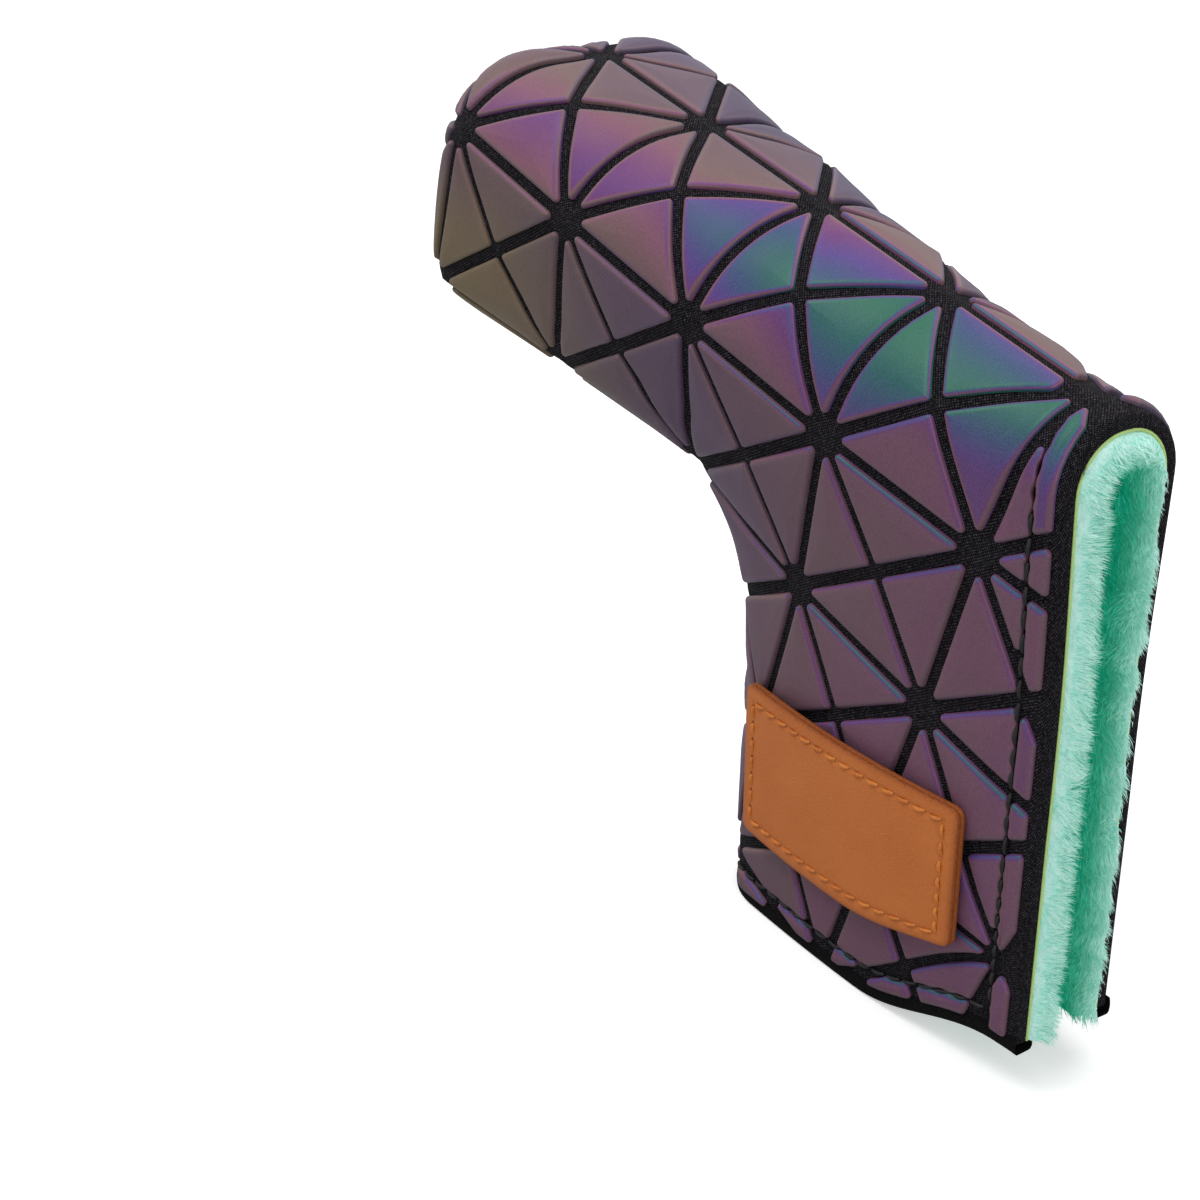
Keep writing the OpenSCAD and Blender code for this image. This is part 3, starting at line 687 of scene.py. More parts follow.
def thread_material(name, low, high):
    """Twisted thread: a darker and a lighter ply."""
    material, tree, shader = new_material(name, Roughness=0.6, Specular_IOR_Level=0.35)
    grain = use(tree, "grain", {"Scale": 2600.0, "Softness": 0.6})
    shade = math_node(tree, "MULTIPLY", math_node(tree, "ADD", grain.outputs["Speck"],
                                                  number(tree, "shade")), 0.5)
    tree.links.new(mix(tree, shade, low, high), shader.inputs["Base Color"])
    bump(tree, shader, grain.outputs["Height"], 0.6, 0.0001)
    return material


def magnet_material():
    material, tree, shader = new_material("nickel_plate", Metallic=1.0)
    grain = use(tree, "grain", {"Scale": 1400.0, "Softness": 0.5})
    tree.links.new(mix(tree, grain.outputs["Speck"], srgb(170, 168, 162), srgb(205, 203, 198)),
                   shader.inputs["Base Color"])
    drive(tree, shader, "Roughness", grain.outputs["Speck"], 0.22, 0.34)
    bump(tree, shader, grain.outputs["Height"], 0.2, 0.00004)
    return material


FILM = film_material()
WOVEN = woven_material("black_canvas", srgb(6, 6, 8), srgb(112, 106, 116))
TAPE = woven_material("black_tape", srgb(6, 6, 7), srgb(40, 39, 43), 0.42, 0.8)
PIPING = woven_material("lime_piping", srgb(196, 228, 140), srgb(232, 248, 190), 0.4, 0.4)
FLEECE = pile_material("mint_fleece", 0.04)
STRANDS = pile_material("mint_strands", 0.06)
LEATHER = leather_material()
TAN_THREAD = thread_material("tan_thread", srgb(168, 84, 26), srgb(226, 142, 62))
BLACK_THREAD = thread_material("black_thread", srgb(5, 5, 6), srgb(34, 33, 36))
NICKEL = magnet_material()


# =============================== tiles ===============================

def clip(poly, normal, limit):
    """The part of a flat polygon where normal . v <= limit."""
    kept = []
    for a, b in zip(poly, poly[1:] + poly[:1]):
        da, db = np.dot(a, normal) - limit, np.dot(b, normal) - limit
        if da <= 0:
            kept.append(a)
        if da * db < 0:
            kept.append(a + (b - a) * (da / (da - db)))
    return kept


def area_of(poly):
    if len(poly) < 3:
        return 0.0
    p = np.array(poly)
    return 0.5 * float(np.sum(p[:, 0] * np.roll(p[:, 1], -1) - np.roll(p[:, 0], -1) * p[:, 1]))


def pattern_triangles(i, j):
    corners = [hub(i, j), hub(i + 1, j), hub(i + 1, j + 1), hub(i, j + 1)]
    middle = hub(i + 0.5, j + 0.5)
    return [[np.array(corners[k]), np.array(corners[(k + 1) % 4]), np.array(middle)] for k in range(4)]


def inset(tri, width):
    """A triangle drawn in by width on every side."""
    sides = [np.linalg.norm(tri[(k + 2) % 3] - tri[(k + 1) % 3]) for k in range(3)]
    middle = sum(s * v for s, v in zip(sides, tri)) / sum(sides)
    reach = 2 * abs(area_of(tri)) / sum(sides)
    return [middle + (v - middle) * (1 - width / reach) for v in tri]


LIP_SLOPE = math.tan(TILT)
LIP_C = LIP_P0 - LIP_SLOPE * float(extra(10.0)) - LIP_MARGIN / CT


def lip_line(side, inwards, on_sole=False):
    """Half plane that ends at the tiles' edge along the lip, moved inwards."""
    if on_sole:
        return np.array([1.0, 0.0]), LIP_P0 - ARCH_MARGIN - inwards
    return np.array([1, -side * LIP_SLOPE]), LIP_C - inwards / CT


def foot_line(side, z):
    """Half plane above height z on the neck."""
    e1 = (SHOULDER_Z - z) / CT + float(extra(10.0)) - 10 * LIP_SLOPE
    e2 = (SHOULDER_Z - z) / CT + float(extra(-50.0)) + 50 * LIP_SLOPE
    k = (e2 - e1) / 60
    return np.array([k, side]), e1 + k * 10


def beyond(line, gap):
    return -line[0], -(line[1] + gap)


def tidy_outline(poly, least=1.5):
    """Drops the very short edges of an outline."""
    poly = [np.array(v, float) for v in poly]
    while len(poly) > 3:
        sizes = [np.linalg.norm(poly[(k + 1) % len(poly)] - poly[k]) for k in range(len(poly))]
        k = int(np.argmin(sizes))
        if sizes[k] > least:
            break
        poly[k] = (poly[k] + poly[(k + 1) % len(poly)]) / 2
        del poly[(k + 1) % len(poly)]
    return poly


def slimness(poly):
    around = sum(np.linalg.norm(np.subtract(a, b)) for a, b in zip(poly, poly[1:] + poly[:1]))
    return 2 * abs(area_of(poly)) / around


def tile_polygons(side):
    """Every tile of one side in the flat, cut where the topstitch runs."""
    for i in range(-6, 2):
        for j in (range(0, 6) if side > 0 else range(-6, 0)):
            for tri in pattern_triangles(i, j):
                on_sole = abs(np.mean([v[1] for v in tri])) < 12
                poly = clip(inset(tri, BAND / 2), *lip_line(side, 0.0))
                if on_sole:
                    poly = clip(poly, *lip_line(side, 0.0, True))
                poly = clip(poly, np.array([-1.0, 0.0]), -TOE_P + TOE_ROUND * math.pi / 2 + TOE_REACH)
                poly = clip(poly, *foot_line(side, 2.4))
                if len(poly) < 3:
                    continue
                sewn = lip_line(side, STITCH_IN + CHANNEL / 2, on_sole)
                strip = clip(poly, *beyond(sewn, CHANNEL))
                body = clip(poly, *sewn)
                foot = foot_line(side, STITCH_UP + CHANNEL / 2)
                low = clip(body, *beyond(foot, CHANNEL)) if body else []
                body = clip(body, *foot) if body else []
                for part in (strip, body, low):
                    part = tidy_outline(part) if len(part) > 2 else part
                    if len(part) > 2 and abs(area_of(part)) > LEAST_AREA and slimness(part) > LEAST_SLIM:
                        yield part, on_sole


class Outline:
    """A tile's outline with rounded corners, drawn again at any distance inwards."""

    def __init__(self, poly, radius, side=0, on_sole=False, step=2.2):
        if area_of(poly) < 0:
            poly = poly[::-1]
        n = len(poly)
        self.poly, self.corners, self.counts, self.sewn = poly, [], [], []
        for k in range(n):
            a, b, c = poly[k - 1], poly[k], poly[(k + 1) % n]
            u, w = unit(a - b), unit(c - b)
            half = max(math.acos(float(np.clip(u @ w, -0.999, 0.999))) / 2, 0.05)
            most = 0.4 * min(np.linalg.norm(a - b), np.linalg.norm(c - b)) * math.tan(half)
            bisector = unit(u + w)
            t = 1 / math.tan(half)
            start, end = u * t - bisector / math.sin(half), w * t - bisector / math.sin(half)
            turn = math.atan2(start[1], start[0])
            sweep = (math.atan2(end[1], end[0]) - turn) % (2 * math.pi)
            self.corners.append((b, bisector, math.sin(half), min(radius, most), turn, sweep))
            on_line = 0
            if side:
                for normal, limit in (lip_line(side, STITCH_IN, on_sole), foot_line(side, STITCH_UP)):
                    reach = np.linalg.norm(normal)
                    if max(abs(b @ normal - limit), abs(c @ normal - limit)) < 0.5 * reach:
                        on_line = 1
            self.sewn.append(on_line)
            self.counts.append(max(2, int(round(np.linalg.norm(c - b) / (0.85 if on_line else step)))))

    def ring(self, off):
        arcs = []
        for b, bisector, sine, r, turn, sweep in self.corners:
            small = max(r - off, 0.04)
            centre = b + bisector * ((off + small) / sine)
            angles = turn + sweep * np.linspace(0, 1, 5)
            arcs.append(centre + small * np.stack([np.cos(angles), np.sin(angles)], 1))
        points = []
        for k, arc in enumerate(arcs):
            points.append(arc)
            first, last = arc[-1], arcs[(k + 1) % len(arcs)][0]
            share = (np.arange(1, self.counts[k]) / self.counts[k])[:, None]
            row = first + (last - first) * share
            if self.sewn[k]:
                way = unit(last - first)
                away = np.array([way[1], -way[0]])
                place = row @ np.abs(way)
                pucker = 0.17 * np.cos(place * 2 * math.pi / 3.3) + 0.07 * np.sin(place * 1.7)
                row = row + away * (pucker * max(0, 1 - off / 0.6))[:, None]
            points.append(row)
        return np.concatenate(points)


def calm_normals(verts, faces, soft, rim):
    """A tile's own way of facing: one lie for its face, the bevel's for its rim."""
    sharp = point_normals(verts, faces)
    face = unit(sharp[rim < 0.2].mean(0))
    calm = unit(0.5 * face + 0.5 * soft)
    keep = np.clip(rim * 1.4 - 0.3, 0, 1)[:, None]
    return unit(sharp * keep + calm * (1 - keep))


def film_numbers(verts, normals):
    """How far each point faces from a fixed highlight direction of the lamps and the view, which lays out
    the film's hues as a painted reflection; where it goes bronze; and how far it turns down, for painted
    shade.
    """
    along = np.clip((X0 - verts[:, 0]) / POUCH_LEN, -0.1, 1)
    # green here is the highlight direction between a fixed lamp and the view, moving from the shoulder to
    # the toe
    green = unit(GREEN_HIGHLIGHT_AT_SHOULDER * (1 - along[:, None]) + GREEN_HIGHLIGHT_AT_TOE * along[:, None])
    angle = np.degrees(np.arccos(np.clip((normals * green).sum(1), -1, 1)))
    turn = angle / 90 - 0.06 + 0.31 * ease((along - 0.24) / 0.42)
    low = ease((128 - verts[:, 2]) / 26)
    bronze = ease((-verts[:, 0] - 5) / 55) * low * 0.8 * ease((angle - 16) / 20)
    # faces that turn down, away from the top lamps, get painted shade
    plum = ease((0.55 - normals[:, 2]) / 0.6)
    return turn, bronze, plum


def build_tiles(side, toe_only):
    tiles = Pieces()
    facing = []
    chance = np.random.default_rng(11 + side)
    for poly, on_sole in tile_polygons(side):
        middle = np.mean(poly, axis=0)
        if (middle[0] < TOE_P - 1) != toe_only:
            continue
        back = off_seam(middle[:1], middle[1:], SEAM_GAP)
        if math.hypot(float(back[0][0]) - middle[0], float(back[1][0]) - middle[1]) > 0.8:
            continue
        outline = Outline(poly, CORNER_ROUND, side, on_sole)
        thin = min(1.0, slimness(poly) / 1.9)
        rings, heights, edge = [], [], []
        for off, height in TILE_RINGS:
            rings.append(outline.ring(off * thin))
            heights.append(np.full(len(rings[0]), height))
            edge.append(np.full(len(rings[0]), 1.0 if 0 < off < 0.9 else 0.3))
        n, top = len(rings[0]), rings[-1]
        middle = top.mean(0)
        crown = TILE_CROWN * min(math.sqrt(abs(area_of(poly))) / 12, 1.2)
        for share in (0.9, 0.6, 0.3):
            rings.append(middle + (top - middle) * share)
            heights.append(np.full(n, TILE_RINGS[-1][1] + crown * (1 - share * share)))
            edge.append(np.zeros(n))
        flat = np.concatenate(rings + [middle[None]])
        height = np.concatenate(heights + [[TILE_RINGS[-1][1] + crown]])
        p, q = off_seam(flat[:, 0], flat[:, 1], SEAM_GAP)
        if abs(area_of(list(np.column_stack([p, q])[:n]))) < LEAST_LAID:
            continue
        last = len(rings) * n
        faces = strip_faces(len(rings), n, 0, True, flip=True)
        faces += [(last, last - n + (k + 1) % n, last - n + k) for k in range(n)]
        rim = np.concatenate(edge + [[0.0]])
        verts = shell_at(p, q, height)
        facing.append(calm_normals(verts, faces, out_of(boot_at, p, q), rim))
        tiles.add(verts, faces, patch=chance.uniform(-1, 1), edge=rim)
    verts = np.concatenate(tiles.verts)
    # the film's painted reflection and painted shade, from each tile's calm facing
    turn, bronze, plum = film_numbers(verts, np.concatenate(facing))
    patch = np.concatenate(tiles.numbers.pop("patch"))
    tiles.numbers["turn"] = [np.clip(turn + 0.02 * patch + 0.02 * rumple(verts, 24, 3), 0, 1)]
    tiles.numbers["bronze"] = [np.clip(bronze + 0.06 * patch * (bronze > 0.05), 0, 1)]
    tiles.numbers["plum"] = [plum]
    return tiles


# =============================== skin, binding, hem, spine, seam ===============================

LIP_ROLL = [(-3.0, 0.05), (-1.5, 0.12), (-0.3, 0.12), (0.4, 0.04), (0.9, -0.22), (1.1, -0.7),
            (1.15, -1.4), (1.1, -2.1), (0.7, -2.6), (0.0, -2.75)]


def side_patch(columns, rows, gap, floor=0.3, short=0.0, start=0.0):
    """Flat places of one side: columns from toe to lip, rows from the sole to seam or neck end."""
    s = np.linspace(start, 1, columns)
    first = TOE_P + (LIP_P0 - TOE_P) * s
    for _ in range(4):
        lowest = end_q(first, gap, floor)
        first = TOE_P + (lip_p(lowest) - TOE_P) * s
    q = np.linspace(0, 1, rows)[None] * lowest[:, None]
    end = lip_p(q)
    p = TOE_P + (end - TOE_P) * s[:, None]
    p = p - short * np.clip((p - end + 12) / 12, 0, 1)
    return p, q


def build_skin(side):
    skin = Pieces()
    p, q = side_patch(118, 96, 0.5)
    skin.add_grid(plate_at(p, side * q), np.stack([p, q], -1), flip=side > 0)
    return skin


def lip_path(step=1.5):
    """Flat places down one side of the lip, from the middle of the sole to the neck end."""
    q = np.arange(0, 130.0, step)
    p = lip_p(q)
    keep = boot_at(p, q)[:, 2] > 0.4
    return p[keep], q[keep]


def lip_frame(side):
    """Points of the lip with the ways out of the shell and past the lip."""
    p, q = lip_path()
    at = boot_at(p, q)
    out = out_of(boot_at, p - 0.7, q)
    past = np.tile([1.0, 0.0, 0.0], (len(p), 1))
    out = unit(out - past * (out * past).sum(1, keepdims=True))
    return mirrored(at, side), mirrored(out, side), past, q


def build_binding(side):
    at, out, past, q = lip_frame(side)
    points = np.stack([at + past * w + out * t for w, t in LIP_ROLL], 1)
    points[..., 2] = np.maximum(points[..., 2], 0.15)
    weave = flat_measure(points, np.arange(len(LIP_ROLL)) * 0.8, q[:, None])
    binding = Pieces()
    binding.add_grid(points, weave, flip=side < 0)
    return binding


def build_piping(side):
    at, out, past, q = lip_frame(side)
    path = at + past * 1.02 + out * (-2.4)
    path[:, 2] = np.maximum(path[:, 2], 0.5)
    piping = Pieces()
    rings = tube(path, 0.24, 8)
    weave = flat_measure(rings, np.arange(8) * 0.3, q[:, None])
    piping.add_grid(rings, weave, wrap=True)
    return piping


def build_hem(side):
    z = 0.8
    last = float(end_x(np.array([z]), 1.4)[0])
    x = np.linspace(LIP_X + 1.5, last, 70)
    p, q = side_pq(np.minimum(x, LIP_X), np.full_like(x, z))
    at, out = boot_at(p, q), out_of(boot_at, p, q)
    at[:, 0] += np.maximum(x - LIP_X, 0)
    out[:, 2] = 0
    out = unit(out)
    profile = [(0.05, 3.0), (0.22, 2.3), (0.3, 1.4), (0.22, 0.5), (-0.1, 0.06), (-0.8, 0.02),
               (-2.4, 0.02), (-3.0, 0.1), (-3.3, 0.6), (-3.3, 1.6)]
    points = np.stack([at * [1, 1, 0] + out * t + [0, 0, h] for t, h in profile], 1)
    weave = flat_measure(points, x[:, None], np.arange(len(profile)) * 0.8)
    hem = Pieces()
    hem.add_grid(mirrored(points, side), weave, flip=side < 0)
    return hem


def build_spine():
    """The strip that closes the inner fold between the two halves of the neck."""
    z = np.concatenate([np.linspace(0.3, CUT_Z, 30), np.linspace(CUT_Z + 2, CUT_Z + 10, 6)])
    edge = side_at(end_x(z, 2.1), z)
    middle = side_at(end_x(z, 0.3), z)
    across = np.linspace(-1, 1, 9)
    points = np.empty((len(z), 9, 3))
    wave = 0.12 * np.sin(z / 2.1)
    for k, a in enumerate(across):
        blend = 1 - abs(a)
        points[:, k, 0] = (edge[:, 0] * (1 - blend) + middle[:, 0] * blend
                           - 0.25 - 0.35 * blend + wave * blend)
        points[:, k, 1] = a * 2.15
        points[:, k, 2] = edge[:, 2] * (1 - blend) + middle[:, 2] * blend
    weave = np.stack([points[..., 1], points[..., 2]], -1)
    spine = Pieces()
    spine.add_grid(points, weave, flip=True)
    return spine


def build_seam():
    """The puckered seam along the underside of the pouch, from the toe into the crotch."""
    p = np.linspace(TOE_P - 6, float(to_pv(INNER_X - 8, CUT_Z + 16)[0]) - 4, 90)
    q = end_q(np.maximum(p, TOE_P), 0.35)
    at = boot_at(p, q)
    at[:, 1] = 0
    way = np.array([-ST, 0, -CT])
    at = at + way * (0.15 + 0.12 * np.sin(p * 2 * math.pi / 3.2))[:, None]
    seam = Pieces()
    rings = tube(at, 0.85 + 0.1 * np.cos(p * 2 * math.pi / 3.2), 8)
    weave = flat_measure(rings, p[:, None], np.arange(8) * 0.6)
    seam.add_grid(rings, weave, wrap=True)
    return seam


def build_toe_skin():
    q_end = float(end_q(np.array([TOE_P]), 0.5)[0])
    q = np.linspace(-q_end, q_end, 110)
    past = np.concatenate([np.linspace(0, 15.7, 12), np.linspace(17, 45, 14)])
    p = TOE_P - past[:, None] + 0 * q[None]
    q = np.broadcast_to(q[None], p.shape)
    at = plate_at(p, q)
    skin = Pieces()
    skin.add_grid(at, np.stack([p, q], -1), wrap=True, flip=False)
    return skin


def build_toe_seam(cap):
    """The sewn T on the toe end, where the film is tucked in like the end of a parcel."""
    faces = [tuple(map(int, f)) for f in cap.faces]
    tree = BVHTree.FromPolygons(np.concatenate(cap.verts).tolist(), faces)

    def laid(points):
        hits = [tree.ray_cast(Vector(point + TOE_WAY * 30), Vector(-TOE_WAY))[0] for point in points]
        return np.array([np.array(hit) + TOE_WAY * 0.55 for hit in hits if hit is not None])

    seam = Pieces()
    reach = np.linspace(-1, 1, 41)
    flat = TOE_MID + TOE_WAY * (TOE_ROUND + 1.9)
    down = np.array([-ST, 0, -CT])
    across = flat + reach[:, None] * np.array([0, 13.0, 0]) + down * 3.0
    upright = flat + down * 3.0 + (np.linspace(0, 1, 26)[:, None] * down * 13.5)
    for path in (laid(across), laid(upright)):
        swing = 0.8 + 0.1 * np.cos(np.arange(len(path)) * 1.4)
        rings = tube(path, swing, 8)
        weave = flat_measure(rings, np.arange(len(path))[:, None] * 0.8, np.arange(8) * 0.6)
        seam.add_grid(rings, weave, wrap=True)
    return seam


# =============================== fleece lining ===============================

PILE_ROLL = [(0.2, -2.6), (1.1, -2.7), (1.8, -3.1), (2.2, -3.9), (2.1, -4.8), (1.5, -5.7),
             (0.4, -6.3), (-1.2, -6.5), (-3.4, -6.45)]


def lumps(points):
    return 0.3 * rumple(points, 6.5, 21) + 0.18 * rumple(points, 2.6, 22)


def build_lining(side):
    lining = Pieces()

    # how deep inside from the lip: it sets the fleece's painted shade inside and its painted highlight at
    # the lip
    def depth_of(points):
        return ease((LIP_X + 1.5 - points[..., 0]) / 5)

    def lay(points, normals, away):
        lump = lumps(points)
        return points - normals * (lump * away)[..., None], np.clip(0.35 - 0.3 * lump, 0, 1)

    p, q = side_patch(100, 84, 0.5, 1.2, 3.2, 0.14)
    out = out_of(boot_at, p, q)
    at = boot_at(p, q) - out * (LINING_OUT + PILE - 0.1)
    at, tip = lay(at, out, ease((boot_at(p, q)[..., 2] - 1) / 5))
    at[..., 2] = np.maximum(at[..., 2], 0.5)
    lining.add_grid(mirrored(at, side), flip=side < 0, tip=tip, depth=depth_of(at))
    at, out, past, _ = lip_frame(side)
    points = np.stack([at + past * w + out * t for w, t in PILE_ROLL], 1)
    lump = lumps(points)
    share = np.array([0, 0.4, 0.9, 1, 1, 1, 1, 1, 0.6])
    points = points + (past[:, None] * 0.6 - out[:, None] * 0.5) * (lump * share)[..., None]
    points[..., 2] = np.maximum(points[..., 2], 0.4)
    # the roll is painted deeper towards the inside: painted shade
    lining.add_grid(points, flip=side > 0, tip=np.clip(0.5 - 0.35 * lump, 0, 1),
                    depth=np.broadcast_to([0, 0, 0, 0.05, 0.2, 0.5, 0.8, 0.95, 1.0], lump.shape))
    return lining


def pick_on(verts, faces, weights, count, source):
    """Seeded places on quads: points, their faces and normals."""
    quads = np.array([f for f in faces if len(f) == 4])
    a, b, c, d = (verts[quads[:, k]] for k in range(4))
    cross = np.cross(c - a, d - b)
    size = np.linalg.norm(cross, axis=1) / 2 * weights(verts[quads].mean(1))
    chosen = source.choice(len(quads), count, p=size / size.sum())
    u, v = source.uniform(0, 1, (2, count, 1))
    at = (a[chosen] * (1 - u) + b[chosen] * u) * (1 - v) + (d[chosen] * (1 - u) + c[chosen] * u) * v
    return at, unit(cross[chosen]), chosen


def build_strands(lining, side, count):
    """Short seeded pile: it leans out over the lip, and lies down the walls inside."""
    source = np.random.default_rng(40 + side)
    verts = np.concatenate(lining.verts)

    def weights(at):
        inside = LIP_X - at[:, 0]
        w = np.where(inside < 6, 9.0, np.where(inside < 16, 3.2, np.where(inside < 45, 1.1, 0.06)))
        return w * np.where(at[:, 0] < -8, 0.0, 1.0)

    at, normal, chosen = pick_on(verts, lining.faces, weights, count, source)
    # the strands take the lining's painted shade and lip highlight by depth
    deep = np.concatenate(lining.numbers["depth"])[np.array(lining.faces)[chosen]].mean(1)
    centre = np.stack([at[:, 0], np.zeros(len(at)), np.clip(at[:, 2], 8, 98)], 1)
    normal = np.where(((centre - at) * normal).sum(1, keepdims=True) < 0, -normal, normal)
    at_lip = ease((at[:, 0] - LIP_X + 4) / 4)[:, None]
    swirl = np.stack([rumple(at, 7, s) for s in (51, 52, 53)], 1)
    inwards = -np.sign(at[:, 1])[:, None] * np.array([0, 1.0, 0])
    lay = (at_lip * (np.array([0.6, 0, -0.35]) + 0.65 * inwards)
           + (1 - at_lip) * np.array([0.35, 0, -0.75]))
    normal = unit(normal * (1 - 0.35 * at_lip) + at_lip * np.array([0.8, 0, 0]))
    start = unit(normal * 0.75 + lay * 0.8 + 0.5 * swirl + 0.22 * source.normal(size=at.shape))
    end = unit(start + lay * 0.7 + 0.5 * swirl + 0.24 * source.normal(size=at.shape)
               - normal * 0.3)
    outwards = unit(at - np.stack([at[:, 0], 0 * at[:, 0], np.minimum(at[:, 2], 92)], 1))
    for way in (start, end):
        over = np.maximum((way * outwards).sum(1, keepdims=True) + 0.1, 0)
        way -= outwards * (over * at_lip)
    length = source.uniform(1.5, 2.7, (count, 1)) * (0.95 + 0.1 * at_lip)
    mid = at + start * length * 0.55
    tip = mid + end * length * 0.5
    wide = unit(np.cross(start, source.normal(size=at.shape))) * source.uniform(0.05, 0.10, (count, 1))
    points = np.stack([at - wide, at + wide, mid + wide * 0.85, mid - wide * 0.85, tip], 1)
    points[..., 2] = np.maximum(points[..., 2], 0.12)
    points[..., 0] = np.minimum(points[..., 0], LIP_X + 5.0)
    base = np.arange(count)[:, None] * 5
    quads = base + [0, 1, 2, 3]
    points_tri = base + [3, 2, 4]
    depth = np.repeat(deep, 5)
    bright = source.uniform(-0.12, 0.12, count)
    shade = np.stack([0.25 + bright, 0.25 + bright, 0.62 + bright, 0.62 + bright, 0.95 + bright], 1)
    group = Pieces()
    faces = [tuple(f) for f in quads.tolist()] + [tuple(f) for f in points_tri.tolist()]
    group.add(points.reshape(-1, 3), faces, tip=np.clip(shade.ravel(), 0, 1), depth=depth)
    return group


# =============================== label and stitches ===============================

def label_back(x, z):
    """The label's back: it follows the swollen side, and bends a little round the inner fold."""
    held = np.maximum(x, FOLD_X + 1)
    v = side_at(held, np.broadcast_to(z, np.shape(held)))
    gap = held - x
    return np.stack([x + 0 * gap, v[..., 1] + gap * gap * 0.012, np.broadcast_to(z, np.shape(x))], -1)


def label_at(u, w, out):
    """u along, w up the label, 0 to 1; out is the height above its back."""
    x = LABEL_X + LABEL_LEN * u
    z = LABEL_Z - LABEL_WIDE / 2 + LABEL_WIDE * w
    at = label_back(x, z)
    at[..., 1] -= 1.2 + out + 0.9 * np.sin(math.pi * np.clip(u, 0, 1))
    return at


LABEL_CORNER = 1.7
LABEL_STEPS = [0.12, 0.4, 0.9, 1.7, 2.1, 2.35, 2.75, 3.0, 3.5]
LABEL_RISE = [1.66, 1.80, 1.88, 1.88, 1.85, 1.72, 1.72, 1.85, 1.88]
LABEL_WALL = [(0.12, 1.66), (0.0, 1.46), (0.0, 1.06), (0.15, 0.92), (0.0, 0.78), (0.0, 0.2),
              (0.2, 0.0), (1.6, 0.0)]


def round_off(x, z, a, b, r):
    """Bends the corners of a rectangle's grid onto rounded corners."""
    u = np.clip((np.abs(x) - a + r) / r, 0, 1)
    w = np.clip((np.abs(z) - b + r) / r, 0, 1)
    f = np.maximum(u, w) / np.maximum(np.hypot(u, w), 1e-9)
    corner = (u > 0) & (w > 0)
    return (np.where(corner, np.sign(x) * (a - r + u * f * r), x),
            np.where(corner, np.sign(z) * (b - r + w * f * r), z))


def label_place(x, z, out):
    return label_at(x / LABEL_LEN + 0.5, z / LABEL_WIDE + 0.5, out)


def label_lines(half, spacing):
    inner = half - LABEL_STEPS[-1]
    middle = np.linspace(-inner, inner, int(round(2 * inner / spacing)) + 1)
    steps = half - np.array(LABEL_STEPS[:-1])
    return np.concatenate([-steps, middle, steps[::-1]])


def build_label():
    a, b = LABEL_LEN / 2, LABEL_WIDE / 2
    xs, zs = label_lines(a, 1.5), label_lines(b, 1.5)
    x, z = np.meshgrid(xs, zs)
    inwards = np.minimum(a - np.abs(x), b - np.abs(z))
    rise = np.interp(inwards, LABEL_STEPS, LABEL_RISE)
    label = Pieces()
    first = LABEL_STEPS[0]
    top = label_place(*round_off(x, z, a - first, b - first, LABEL_CORNER - first), rise)
    label.add_grid(top, flip=False, edge=np.interp(inwards, [0.1, 0.6, 1.2], [0.8, 0.3, 0.0]))
    around = [(v, zs[0]) for v in xs[:-1]] + [(xs[-1], v) for v in zs[:-1]]
    around += [(v, zs[-1]) for v in xs[:0:-1]] + [(xs[0], v) for v in zs[:0:-1]]
    around = np.array(around)
    rings = []
    for off, out in LABEL_WALL:
        rx, rz = around[:, 0] * (a - off) / (a - first), around[:, 1] * (b - off) / (b - first)
        rings.append(label_place(*round_off(rx, rz, a - off, b - off, max(LABEL_CORNER - off, 0.1)), out))
    label.add_grid(np.stack(rings), wrap=True, flip=True, edge=np.full((len(rings), len(around)), 1.0))
    return label


def build_label_thread():
    thread = Pieces()
    margin, pitch = 2.6, 3.1
    a, b = LABEL_LEN / 2 - margin, LABEL_WIDE / 2 - margin
    corners = [(-a, -b), (a, -b), (a, b), (-a, b)]
    chance = np.random.default_rng(5)
    for k in range(4):
        start, end = np.array(corners[k]), np.array(corners[(k + 1) % 4])
        count = int(round(np.linalg.norm(end - start) / pitch))
        for s in range(count):
            one = start + (end - start) * (s + 0.12) / count
            two = start + (end - start) * (s + 0.84) / count
            slant = np.array([-(end - start)[1], (end - start)[0]]) / np.linalg.norm(end - start) * 0.14
            one, two = one - slant, two + slant
            ends = [label_at(np.array(v[0] / LABEL_LEN + 0.5), np.array(v[1] / LABEL_WIDE + 0.5), 1.82)
                    for v in (one, two)]
            add_stitch(thread, ends[0], ends[1], np.array([0, -1.0, 0]), 0.36, 0.34,
                       chance.uniform(0.2, 0.8))
    return thread


STITCH_LEN, STITCH_PITCH = 2.6, 3.4


